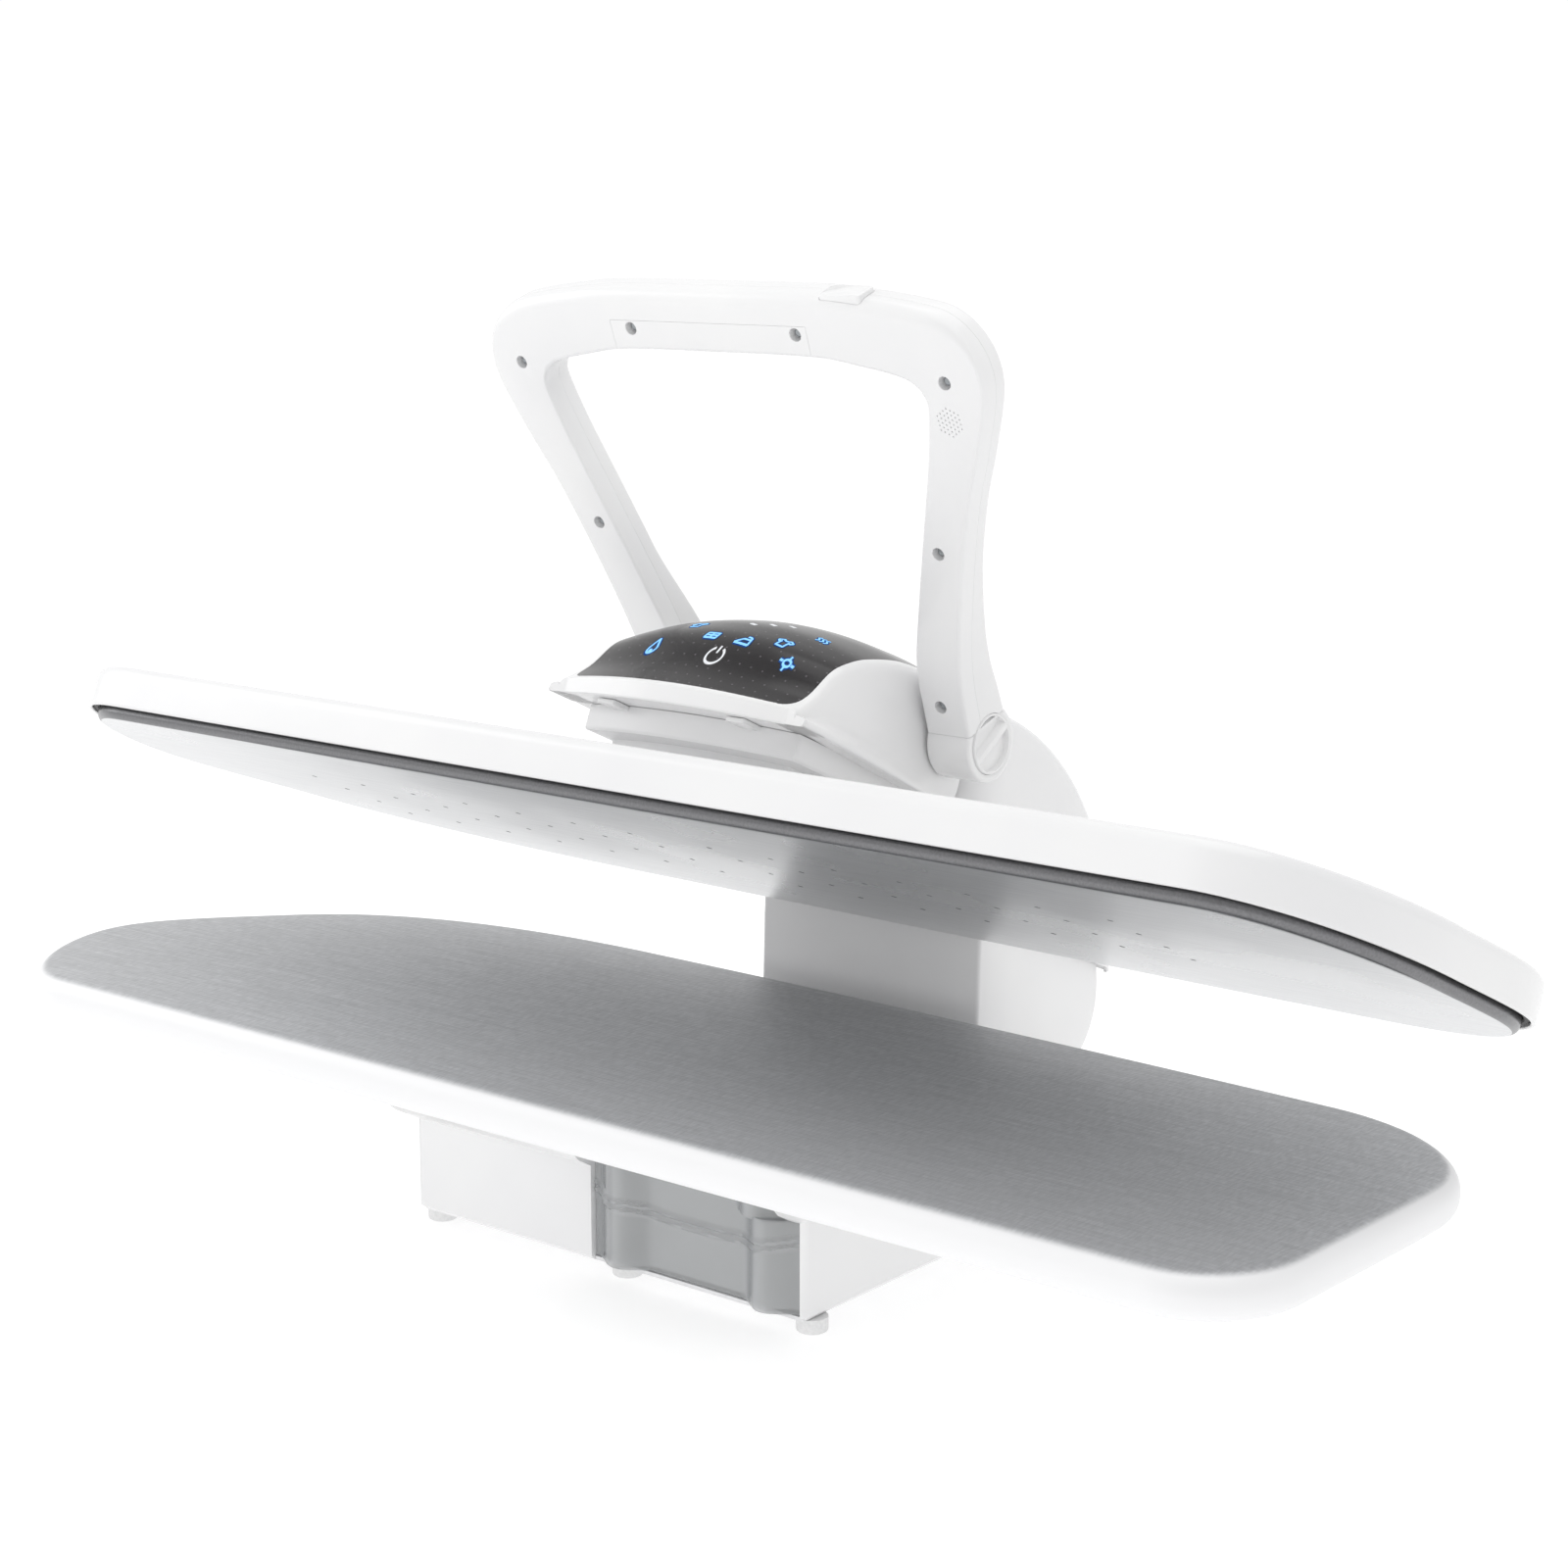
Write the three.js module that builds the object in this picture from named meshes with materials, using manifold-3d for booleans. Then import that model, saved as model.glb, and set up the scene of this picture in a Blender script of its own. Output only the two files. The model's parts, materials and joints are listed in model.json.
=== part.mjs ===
// Table-top steam ironing press, modelled open, in millimetres, +Z up.
// X runs along the board, Y from the user's side to the back, Z up from the table.
// Pieces are drawn from the front feet: X zero is the middle of the base and Y zero is the
// middle of the front feet. The last lines move the whole press so that the origin is the
// middle of its outer box, on the table.
import * as THREE from 'three';
import { mergeVertices } from 'three/addons/utils/BufferGeometryUtils.js';
import Module from 'manifold-3d';

const wasm = await Module();
wasm.setup();

// Clearances that the whole press shares
const seat = 0.3;
const slide = 0.7;
const overrun = 20;

// Lower ironing board
const boardLength = 997;
const boardDepth = 312;
const boardMiddleX = 2;
const boardFrontY = -107;
const boardTopZ = 137;
const boardThickness = 26;
const boardCrown = 3.5;
const boardEdge = 12;
const coverCloth = 1.5;
const coverHem = 34;
const trayWall = 2.5;
const trayRim = 9;
const trayRecess = 3;
const trayBossLength = 300;
const trayBossDepth = 180;
const trayRibs = 7;
const trayRibWidth = 4;

// Base on the table
const baseHalfWidth = 158;
const baseFrontY = -16;
const baseRearY = 331.7;
const baseCorner = 5;
const baseWall = 3;
const basePlate = 2.4;
const footHeight = 9.2;
const footRadius = 9.5;
const footTaper = 1;
const footInset = 6.5;
const footFrontY = 0;
const footRearY = 300;
const footMiddleX = 8;
const shoulderZ = 76;
const shoulderReach = 21;
const shoulderRound = 12;
const baseStepY = 240;
const baseRearTopZ = 57;
const ventPitch = 9;
const ventWidth = 3;
const ventLength = 46;
const ventCount = 5;
const ventY = 268;

// Water tank in its bay, at the right of the front
const bayLeftX = -7;
const bayWall = 3;
const bayRearY = 124;
const bayTopZ = 101;
const bayNotchZ = 70;
const bayNotch = 7.4;
const tankWall = 2.4;
const tankTopZ = 93;
const tankCorner = 9;
const tankBulge = 11;
const tankBulgeWidth = 46;
const tankFrontY = -12;
const tankLip = 2.6;
const tankLipHeight = 3;
const ribLowZ = 46;
const ribRise = 9;
const ribHeight = 3;
const ribProud = 1.8;
const ribBandDepth = 12;
const lidThickness = 2.6;
const capRadius = 15;
const capRise = 2.4;
const capGrip = 3;
const valveRadius = 6;
const valveLength = 7;
const valveX = 40;
const valveZ = 26;
const valveStem = 2.4;
const dockRadius = 10.5;
const dockLength = 9;

// Steam pump, power board and mains entry inside the base
const pumpRadius = 15;
const pumpLength = 46;
const pumpX = -95;
const pumpY = 40;
const pumpCoil = 6;
const pumpNozzle = 3.2;
const pumpNozzleLength = 16;
const cradleWall = 3;
const powerBoardLength = 96;
const powerBoardDepth = 92;
const powerBoardThickness = 1.6;
const powerBoardY = 128;
const powerBoardPost = 8;
const powerPostRadius = 3.5;
const powerPostInset = 8;
const transformerLength = 34;
const transformerDepth = 28;
const transformerHeight = 26;
const capacitorRadius = 8;
const capacitorHeight = 22;
const glandX = -118;
const glandZ = 34;
const glandRadius = 9;
const glandLength = 7;
const glandBore = 3.6;

// Column behind the board, and the main hinge in it
const columnHalfWidth = 90.5;
const columnFrontY = 246;
const columnLean = 4;
const columnWall = 3;
const columnTopZ = 175;
const columnChin = 56;
const columnDrumRear = 352;
const hingeY = 304;
const hingeZ = 113;
const drumRadius = 86;
const openAngle = 24.5;
const shaftRadius = 8;
const shaftHalfLength = 80;
const bracketX = 70;
const bracketPlate = 4;
const bracketFoot = 18;
const bracketHub = 19;
const bracketRearY = 328;
const stopRadius = 5;
const stopHeight = 42;
const armX = 38;
const armPlate = 5;
const armHub = 19;
const armHeel = 12;
const armFlangeHalf = 67;
const armFlange = 4;
const armFrontGap = 31.4;
const armRear = 110;
const bushWall = 2;
const bushCollar = 4;
const bushCollarLength = 1.6;
const springWire = 3.6;
const springTurns = 5;
const springLeg = 26;

// Upper head: housing, sole plate and what hangs between them, in the head's own frame.
// The frame's origin is the hinge axis, U runs back along the sole and W up from it.
const headLength = 1012;
const headDepth = 316;
const headMiddleX = 2;
const headFrontU = -401;
const rimW = 36;
const housingHeight = 28.5;
const housingWall = 3;
const housingRound = 9;
const housingCrown = 1.5;
const soleInset = 8;
const soleDrop = 7;
const soleThickness = 11.5;
const soleRound = 3;
const gasketHeight = 2.6;
const steamHole = 1.4;
const steamPitch = 47.5;
const steamRowPitch = 32;
const steamRows = 4;
const steamSideColumns = 7;
const steamFirstX = 32;
const steamForward = 6;
const chamberMiddleX = 12;
const chamberLength = 780;
const chamberDepth = 150;
const chamberHeight = 4;
const elementRadius = 3.5;
const elementLength = 620;
const elementWidth = 84;
const elementPass = 42;
const terminalRise = 6;
const thermostatRadius = 9;
const thermostatHeight = 6;
const thermostatX = 150;
const fuseLength = 22;
const fuseRadius = 3.5;
const fuseX = -130;
const frameLength = 640;
const frameDepth = 168;
const framePlate = 3;
const frameGap = 3;
const framePostRadius = 5;
const framePosts = 4;

// Hood, its pedestal, the touch panel and the rear cover, also in the head's frame
const hoodFrontU = -323.6;
const hoodBow = 13;
const hoodSeamU = -150;
const hoodSkirtW = 104.2;
const hoodLip = 9.5;
const hoodTopW = 173.7;
const hoodCrown = 12;
const hoodShoulder = 88;
const hoodCheek = 94;
const hoodSkirt = 101;
const hoodSkirtHeight = 4;
const hoodWall = 2.6;
const hoodSlope = 127;
const hoodLipCrown = 0.1;
const pedestalStepW = 89.4;
const pedestalHalfWidth = 84;
const pedestalFrontU = -301;
const plinthHalfWidth = 71;
const plinthFrontU = -287;
const glassThickness = 2.2;
const glassHalfWidth = 87;
const glassRearU = -185;
const glassFrontGap = 2.5;
const glassCorner = 12;
const glassTaper = 6;
const clipX = 51.5;
const clipWidth = 14;
const clipHeight = 3;
const clipReach = 11;
const coverArcU = -99.3;
const coverArcW = -23.3;
const coverArc = 197;
const coverHalfWidth = 95;
const coverRimW = 49;
const coverWall = 2.5;
const controlBoardThickness = 1.6;
const controlBoardGap = 2;
const chipSide = 16;
const chipHeight = 3;

// Handle, in its own frame: N is its depth, S runs up its legs, the origin is its pivot
const pivotU = -173.8;
const pivotW = 140.7;
const handleAngle = 44.5;
const handleHeight = 299;
const handleHalfWidth = 191.5;
const handleFrontN = -20;
const handleDepth = 24;
const handleSplitN = -6;
const handleBevel = 3;
const gripRound = 10;
const handleWall = 2.6;
const knuckleRadius = 24.5;
const knuckleOuterX = 129;
const knuckleSeamS = 14.5;
const flareTopS = 108;
const gripInsertLeft = 80;
const gripInsertRight = 73;
const gripInsertDepth = 3;
const gripInsertDrop = 19;
const buttonX = 100;
const buttonHalf = 15;
const buttonDepth = 15;
const buttonBack = 1;
const buttonProud = 1;
const buttonCap = 6;
const buttonStem = 6;
const buttonRound = 2.5;
const screwHead = 3.4;
const screwShank = 1.5;
const screwSink = 5.5;
const screwBoss = 6;
const knobRadius = 19;
const knobProud = 1;
const knobSink = 6;
const knobRidge = 4;
const knobRidgeDraft = 4;
const knobRidgeAngle = 62;
const knobRim = 1.6;
const pivotPinRadius = 7;
const pivotPinHead = 11;
const pivotPinHeadLength = 6;
const earPlate = 4;
const earHalf = 17;
const beeperRadius = 9;
const beeperDepth = 6;

// How finely round forms are cut
const slopeSteps = 9;
const coverSteps = 8;
const handleSamples = 34;
const knobSides = 24;
const roundSides = 16;
const smallSides = 8;
const holeSides = 5;
const springSteps = 8;

// The outlines of board and head, as shares of their length and depth from the front left.
// Each row is one curve: its two handles, its end and its steps. The left end is the tapered nose.
const planStartShare = [0.094, 0];
const boardShares = [
  [[0.38, 0], [0.66, 0], [0.941, 0], 1],
  [[0.972, 0], [0.996, 0.1], [0.997, 0.19], 5],
  [[0.998, 0.34], [1, 0.49], [1, 0.64], 2],
  [[1, 0.78], [0.955, 0.945], [0.88, 0.953], 6],
  [[0.75, 0.975], [0.55, 1], [0.35, 1], 4],
  [[0.2, 1], [0.117, 0.891], [0.072, 0.728], 6],
  [[0.016, 0.54], [0, 0.46], [0, 0.362], 5],
  [[0, 0.22], [0.045, 0], [0.094, 0], 7],
];
const headShares = [
  [[0.38, 0], [0.66, 0], [0.91, 0], 1],
  [[0.958, 0], [0.995, 0.2], [0.997, 0.47], 6],
  [[0.998, 0.54], [1, 0.6], [1, 0.68], 1],
  [[1, 0.88], [0.965, 1.02], [0.89, 1.03], 6],
  [[0.76, 1.02], [0.55, 0.975], [0.35, 0.93], 4],
  [[0.2, 0.9], [0.117, 0.79], [0.072, 0.64], 6],
  [[0.016, 0.52], [0, 0.46], [0, 0.362], 5],
  [[0, 0.22], [0.045, 0], [0.094, 0], 7],
];

// Shapes that several pieces use

function orient(geometry) {
  const position = geometry.attributes.position;
  const index = geometry.index.array;
  const a = new THREE.Vector3();
  const b = new THREE.Vector3();
  const c = new THREE.Vector3();
  let volume = 0;
  for (let i = 0; i < index.length; i += 3) {
    a.fromBufferAttribute(position, index[i]);
    b.fromBufferAttribute(position, index[i + 1]);
    c.fromBufferAttribute(position, index[i + 2]);
    volume += a.dot(b.cross(c));
  }
  if (volume < 0) {
    for (let i = 0; i < index.length; i += 3) {
      [index[i], index[i + 1]] = [index[i + 1], index[i]];
    }
  }
  return geometry;
}

function solid(geometry) {
  const bare = geometry.clone();
  bare.deleteAttribute('normal');
  bare.deleteAttribute('uv');
  const merged = orient(mergeVertices(bare));
  return new wasm.Manifold(new wasm.Mesh({
    numProp: 3,
    vertProperties: merged.attributes.position.array,
    triVerts: merged.index.array,
  }));
}

function geometryOf(body) {
  const cut = body.getMesh();
  const geometry = new THREE.BufferGeometry();
  geometry.setAttribute('position', new THREE.BufferAttribute(cut.vertProperties, 3));
  geometry.setIndex(new THREE.BufferAttribute(cut.triVerts, 1));
  return geometry;
}

function mirrored(body) {
  return solid(geometryOf(body).scale(-1, 1, 1));
}

function moved(body, x, y, z) {
  return solid(geometryOf(body).translate(x, y, z));
}

function loft(rings, closed = false) {
  const places = [];
  const faces = [];
  const starts = [];
  for (const ring of rings) {
    starts.push(places.length / 3);
    for (const point of ring) places.push(...point);
  }
  const join = (first, second) => {
    const a = starts[first];
    const b = starts[second];
    const count = Math.max(rings[first].length, rings[second].length);
    for (let i = 0; i < count; i += 1) {
      const j = (i + 1) % count;
      if (rings[first].length > 1) faces.push(a + i, a + j, b + (rings[second].length > 1 ? i : 0));
      if (rings[second].length > 1) faces.push(b + j, b + i, a + (rings[first].length > 1 ? j : 0));
    }
  };
  for (let k = 0; k + 1 < rings.length; k += 1) join(k, k + 1);
  if (closed) {
    join(rings.length - 1, 0);
  } else {
    capEnd(rings, starts, places, faces, 0, false);
    capEnd(rings, starts, places, faces, rings.length - 1, true);
  }
  const geometry = new THREE.BufferGeometry();
  geometry.setAttribute('position', new THREE.Float32BufferAttribute(places, 3));
  geometry.setIndex(faces);
  return solid(geometry);
}

function capEnd(rings, starts, places, faces, which, last) {
  const ring = rings[which];
  if (ring.length === 1) return;
  const middle = [0, 0, 0];
  for (const point of ring) point.forEach((value, axis) => { middle[axis] += value / ring.length; });
  const centre = places.length / 3;
  places.push(...middle);
  for (let i = 0; i < ring.length; i += 1) {
    const here = starts[which] + i;
    const next = starts[which] + ((i + 1) % ring.length);
    if (last) faces.push(here, next, centre);
    else faces.push(next, here, centre);
  }
}

function extruded(points, depth, basis, start) {
  const shape = new THREE.Shape(points.map(([a, b]) => new THREE.Vector2(a, b)));
  const geometry = new THREE.ExtrudeGeometry(shape, { depth, bevelEnabled: false });
  geometry.translate(0, 0, start);
  geometry.applyMatrix4(basis);
  return solid(geometry);
}

const axisX = new THREE.Vector3(1, 0, 0);
const axisY = new THREE.Vector3(0, 1, 0);
const axisZ = new THREE.Vector3(0, 0, 1);
const sideBasis = new THREE.Matrix4().makeBasis(axisY, axisZ, axisX);
const planBasis = new THREE.Matrix4().makeBasis(axisX, axisY, axisZ);
const frontBasis = new THREE.Matrix4().makeBasis(axisX, axisZ, axisY.clone().negate());

// A side profile (y, z) carried along X, a plan (x, y) along Z and a front view (x, z) along Y
const alongX = (points, x0, x1) => extruded(points, x1 - x0, sideBasis, x0);
const alongZ = (points, z0, z1) => extruded(points, z1 - z0, planBasis, z0);
const alongY = (points, y0, y1) => extruded(points, y1 - y0, frontBasis, -y1);

function box(x0, x1, y0, y1, z0, z1) {
  const geometry = new THREE.BoxGeometry(x1 - x0, y1 - y0, z1 - z0);
  geometry.translate((x0 + x1) / 2, (y0 + y1) / 2, (z0 + z1) / 2);
  return solid(geometry);
}

function circle(a, b, radius, sides = roundSides) {
  return Array.from({ length: sides }, (_, i) => {
    const turn = (2 * Math.PI * (i + 0.5)) / sides;
    return [a + radius * Math.cos(turn), b + radius * Math.sin(turn)];
  });
}

const rodX = (y, z, radius, x0, x1, sides) => alongX(circle(y, z, radius, sides), x0, x1);
const rodY = (x, z, radius, y0, y1, sides) => alongY(circle(x, z, radius, sides), y0, y1);
const rodZ = (x, y, radius, z0, z1, sides) => alongZ(circle(x, y, radius, sides), z0, z1);

function joined(bodies) {
  return bodies.reduce((sum, body) => sum.add(body));
}

function arcPoints(a, b, radius, from, to, steps) {
  return Array.from({ length: steps + 1 }, (_, i) => {
    const turn = THREE.MathUtils.degToRad(from + ((to - from) * i) / steps);
    return [a + radius * Math.cos(turn), b + radius * Math.sin(turn)];
  });
}

function roundedRect(x0, x1, y0, y1, radius, steps = 3) {
  return [
    ...arcPoints(x1 - radius, y0 + radius, radius, -90, 0, steps),
    ...arcPoints(x1 - radius, y1 - radius, radius, 0, 90, steps),
    ...arcPoints(x0 + radius, y1 - radius, radius, 90, 180, steps),
    ...arcPoints(x0 + radius, y0 + radius, radius, 180, 270, steps),
  ];
}

// A closed outline moved inwards by one distance everywhere, each edge parallel to its old one
function inset(loop, distance) {
  const count = loop.length;
  const normals = loop.map(([x, y], i) => {
    const [nextX, nextY] = loop[(i + 1) % count];
    return new THREE.Vector2(y - nextY, nextX - x).normalize();
  });
  return loop.map(([x, y], i) => {
    const before = normals[(i + count - 1) % count];
    const after = normals[i];
    const move = distance / (1 + before.dot(after));
    return [x + (before.x + after.x) * move, y + (before.y + after.y) * move];
  });
}

function atHeight(loop, z) {
  return loop.map(([x, y]) => [x, y, z]);
}

const middleOf = (loop) => {
  const xs = loop.map(([x]) => x);
  const ys = loop.map(([, y]) => y);
  return [(Math.min(...xs) + Math.max(...xs)) / 2, (Math.min(...ys) + Math.max(...ys)) / 2];
};

function planLoop(shares, length, depth, middleX, front) {
  const place = ([x, y]) => new THREE.Vector2(middleX + (x - 0.5) * length, front + y * depth);
  const loop = [];
  let from = place(planStartShare);
  for (const [first, second, end, steps] of shares) {
    const to = place(end);
    const curve = new THREE.CubicBezierCurve(from, place(first), place(second), to);
    loop.push(...curve.getPoints(steps).slice(1).map(({ x, y }) => [x, y]));
    from = to;
  }
  return loop;
}

// Finishes
const finish = (color, roughness, metalness = 0) => new THREE.MeshStandardMaterial({
  color, roughness, metalness,
});
const whiteAbs = finish(0xf3f4f5, 0.22);
const softWhite = finish(0xededee, 0.45);
const clearPlastic = finish(0xd5dadd, 0.05);
clearPlastic.transparent = true;
clearPlastic.opacity = 0.4;
const blackGlass = finish(0x232124, 0.06);
const blackSeal = finish(0x1d1d1f, 0.7);
const aluminium = finish(0xc9cacb, 0.35, 0.9);
const castAluminium = finish(0xa9abad, 0.55, 0.8);
const steel = finish(0x9aa0a5, 0.35, 0.9);
const silverCloth = finish(0xb4b5b7, 0.5, 0.4);
const foamGrey = finish(0xd9d7d0, 0.95);
const circuitGreen = finish(0x1f5a3c, 0.6);
const rubberGrey = finish(0xdcdcdc, 0.8);
const brassFinish = finish(0xb89a55, 0.35, 0.9);

function piece(parent, name, body, material) {
  const mesh = new THREE.Mesh(geometryOf(body), material);
  mesh.geometry.computeVertexNormals();
  mesh.name = name;
  parent.add(mesh);
  return mesh;
}

const press = new THREE.Group();
const head = new THREE.Group();
const handle = new THREE.Group();
head.position.set(0, hingeY, hingeZ);
head.rotation.x = -THREE.MathUtils.degToRad(openAngle);
handle.position.set(0, pivotU, pivotW);
handle.rotation.x = THREE.MathUtils.degToRad(handleAngle);
head.add(handle);
press.add(head);

// Board: a rigid tray, a foam pad on it and a metallised cloth cover drawn round both

const boardBottomZ = boardTopZ - boardThickness;
const boardLoop = planLoop(boardShares, boardLength, boardDepth, boardMiddleX, boardFrontY);
const boardCentre = middleOf(boardLoop);
const crownShares = [[0.35, 0.6]];

// The rounded board section: inset from the outline against height, from hem to crown
function boardRings(skin, hemTo) {
  const radius = boardEdge - skin;
  const low = boardBottomZ + skin;
  const top = boardTopZ - skin;
  const rings = [atHeight(inset(boardLoop, hemTo), low)];
  const steps = skin > 0 ? 2 : 3;
  const roundLow = arcPoints(boardEdge, low + radius, radius, -90, -180, steps - 1);
  const roundHigh = arcPoints(boardEdge, top - radius, radius, 180, 90, steps);
  for (const [over, z] of [...roundLow, ...roundHigh]) rings.push(atHeight(inset(boardLoop, over), z));
  for (const [share, lift] of crownShares) {
    rings.push(atHeight(inset(boardLoop, boardEdge).map(([x, y]) => [
      x + (boardCentre[0] - x) * share, y + (boardCentre[1] - y) * share,
    ]), top + boardCrown * lift));
  }
  rings.push([[...boardCentre, top + boardCrown]]);
  return rings;
}

const cover = loft([...boardRings(coverCloth, coverHem).reverse(), ...boardRings(0, coverHem)], true);
piece(press, 'board_cover', cover, silverCloth);

const trayBottomZ = boardBottomZ + coverCloth + seat;
const trayTopZ = trayBottomZ + trayRim;
const padStock = loft(boardRings(coverCloth + seat, coverHem));
const padRoom = box(-boardLength, boardLength, -boardLength, boardLength, 0, trayTopZ + seat);
piece(press, 'board_foam_pad', padStock.subtract(padRoom), foamGrey);

const trayLoop = inset(boardLoop, boardEdge + trayRecess);
const trayOuter = alongZ(trayLoop, trayBottomZ, trayTopZ);
const trayPocket = alongZ(inset(trayLoop, trayWall), trayBottomZ + trayWall, trayTopZ + overrun);
const ribSpan = boardLength - 2 * (boardEdge + coverHem);
const trayRibSolids = Array.from({ length: trayRibs }, (_, i) => {
  const x = boardMiddleX + ((i + 1) / (trayRibs + 1) - 0.5) * ribSpan;
  return box(x - trayRibWidth / 2, x + trayRibWidth / 2, boardFrontY, boardFrontY + boardDepth,
    trayBottomZ + trayWall / 2, trayTopZ);
});
const trayBoss = box(-trayBossLength / 2, trayBossLength / 2, boardCentre[1] - trayBossDepth / 2,
  boardCentre[1] + trayBossDepth / 2, boardBottomZ, trayBottomZ + trayWall / 2);
const tray = trayOuter.subtract(trayPocket).add(joined(trayRibSolids).intersect(trayOuter)).add(trayBoss);
piece(press, 'board_tray', tray, softWhite);

// Base: a moulded housing with a shoulder under the board, closed below by a plate on feet

const baseBottomZ = footHeight + seat;
const baseTopZ = boardBottomZ - seat;
const housingLoop = (reach, rearInset) => roundedRect(-baseHalfWidth - reach, baseHalfWidth + reach,
  baseFrontY - reach, baseRearY - rearInset, baseCorner);

function baseSolid(skin) {
  const half = shoulderReach / 2;
  const profile = [
    [baseBottomZ - (skin > 0 ? overrun : 0), -skin - (skin > 0 ? 0 : baseWall)],
    [baseBottomZ + baseWall, -skin],
    [shoulderZ - shoulderRound / 2 + skin, -skin],
    [shoulderZ + skin, half - skin],
    [shoulderZ + shoulderRound + skin / 2, shoulderReach - skin],
    [baseTopZ - baseWall, shoulderReach - skin],
    [baseTopZ - skin, shoulderReach - skin - baseWall],
  ];
  return loft(profile.map(([z, reach]) => atHeight(housingLoop(reach, skin), z)));
}

const bayRightX = baseHalfWidth - bayWall - seat;
const bayFloorZ = baseBottomZ + basePlate + seat;
const stepCut = box(-baseHalfWidth * 2, baseHalfWidth * 2, baseStepY, baseRearY + overrun,
  baseRearTopZ, baseTopZ + overrun);
const stepInner = box(-baseHalfWidth * 2, baseHalfWidth * 2, baseStepY - baseWall,
  baseRearY + overrun, baseRearTopZ - baseWall, baseTopZ + overrun);
const bayBlock = box(bayLeftX - bayWall, baseHalfWidth, baseFrontY, bayRearY + bayWall,
  baseBottomZ, bayTopZ + bayWall);
const bayLow = box(bayLeftX, bayRightX, baseFrontY - overrun * 2, bayRearY, -overrun, bayNotchZ);
const bayHigh = box(bayLeftX, bayRightX - bayNotch, baseFrontY - overrun * 2, bayRearY,
  bayNotchZ - overrun, bayTopZ);
const baseOuter = baseSolid(0).subtract(stepCut);
const plateLoop = inset(housingLoop(0, 0), baseWall + seat);
const plateBody = alongZ(plateLoop, baseBottomZ, baseBottomZ + basePlate);
const plateRoom = alongZ(inset(housingLoop(0, 0), baseWall), baseBottomZ - overrun,
  baseBottomZ + basePlate + seat);
const vents = joined(Array.from({ length: ventCount }, (_, i) => {
  const y = ventY + (i - (ventCount - 1) / 2) * ventPitch;
  const z = (baseBottomZ + baseRearTopZ - ventLength) / 2;
  const slot = roundedRect(y - ventWidth / 2, y + ventWidth / 2, z + ventWidth, z + ventLength - ventWidth,
    ventWidth / 2 - ventWidth / 10, 1);
  return alongX(slot, -baseHalfWidth - overrun, -baseHalfWidth + baseWall + overrun)
    .add(alongX(slot, baseHalfWidth - baseWall - overrun, baseHalfWidth + overrun));
}));
const dockHole = rodY(valveX, valveZ, dockRadius + seat, bayRearY - overrun, bayRearY + bayWall + overrun);
const glandHole = rodY(glandX, glandZ, glandRadius / 2 + seat, baseRearY - baseWall - overrun,
  baseRearY + overrun, smallSides);
const baseHousing = baseOuter
  .subtract(baseSolid(baseWall).subtract(stepInner))
  .add(bayBlock.intersect(baseOuter))
  .subtract(bayLow)
  .subtract(bayHigh)
  .subtract(plateRoom)
  .subtract(vents)
  .subtract(dockHole)
  .subtract(glandHole);
piece(press, 'base_housing', baseHousing, whiteAbs);
piece(press, 'base_bottom_plate', plateBody, softWhite);

const footX = baseHalfWidth - footInset;
const feet = {
  foot_front_left: [-footX, footFrontY],
  foot_front_middle: [footMiddleX, footFrontY],
  foot_front_right: [footX, footFrontY],
  foot_rear_left: [-footX, footRearY],
  foot_rear_right: [footX, footRearY],
};
for (const [name, [x, y]] of Object.entries(feet)) {
  const foot = loft([
    atHeight(circle(x, y, footRadius - footTaper), 0),
    atHeight(circle(x, y, footRadius), footTaper),
    atHeight(circle(x, y, footRadius), footHeight),
  ]);
  piece(press, name, foot, rubberGrey);
}

// Water tank: a clear tray that slides out to the front, with a lid, a filler cap and a valve

const tankLeftX = bayLeftX + slide;
const tankRightX = bayRightX - slide;
const tankRearY = bayRearY - slide;
const tankBottomZ = bayFloorZ + seat;

// Seen from above the front is drawn in between two upright swellings
function tankLoop(skin, right) {
  const x0 = tankLeftX + skin;
  const x1 = right - skin;
  const rear = [
    ...arcPoints(x1 - tankCorner, tankRearY - skin - tankCorner, tankCorner, 0, 90, 3),
    ...arcPoints(x0 + tankCorner, tankRearY - skin - tankCorner, tankCorner, 90, 180, 3),
  ];
  const steps = 16;
  const front = Array.from({ length: steps + 1 }, (_, i) => {
    const x = x0 + ((x1 - x0) * i) / steps;
    const near = Math.min(x - x0, x1 - x);
    const swell = near < tankBulgeWidth ? (1 - Math.cos((2 * Math.PI * near) / tankBulgeWidth)) / 2 : 0;
    return [x, tankFrontY + skin - tankBulge * swell];
  });
  return [...rear, ...front];
}

const tankWide = tankRightX;
const tankNarrow = tankRightX - bayNotch;
const tankShell = alongZ(tankLoop(0, tankWide), tankBottomZ, bayNotchZ - slide)
  .add(alongZ(tankLoop(0, tankNarrow), tankBottomZ, tankTopZ));
const tankRoom = alongZ(tankLoop(tankWall, tankWide), tankBottomZ + tankWall, bayNotchZ - slide - tankWall)
  .add(alongZ(tankLoop(tankWall, tankNarrow), tankBottomZ + tankWall, tankTopZ + overrun));
const ribCurve = (x, lift) => {
  const across = (x - (tankLeftX + tankRightX) / 2) / ((tankRightX - tankLeftX) / 2);
  return ribLowZ + ribRise * across * across + lift;
};
const ribXs = Array.from({ length: 13 }, (_, i) => tankLeftX + ((tankRightX - tankLeftX) * i) / 12);
const ribBand = [
  ...ribXs.map((x) => [x, ribCurve(x, -ribHeight / 2)]),
  ...ribXs.slice().reverse().map((x) => [x, ribCurve(x, ribHeight / 2)]),
];
const ribStock = alongZ(tankLoop(0, tankWide), tankBottomZ, tankTopZ);
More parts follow.
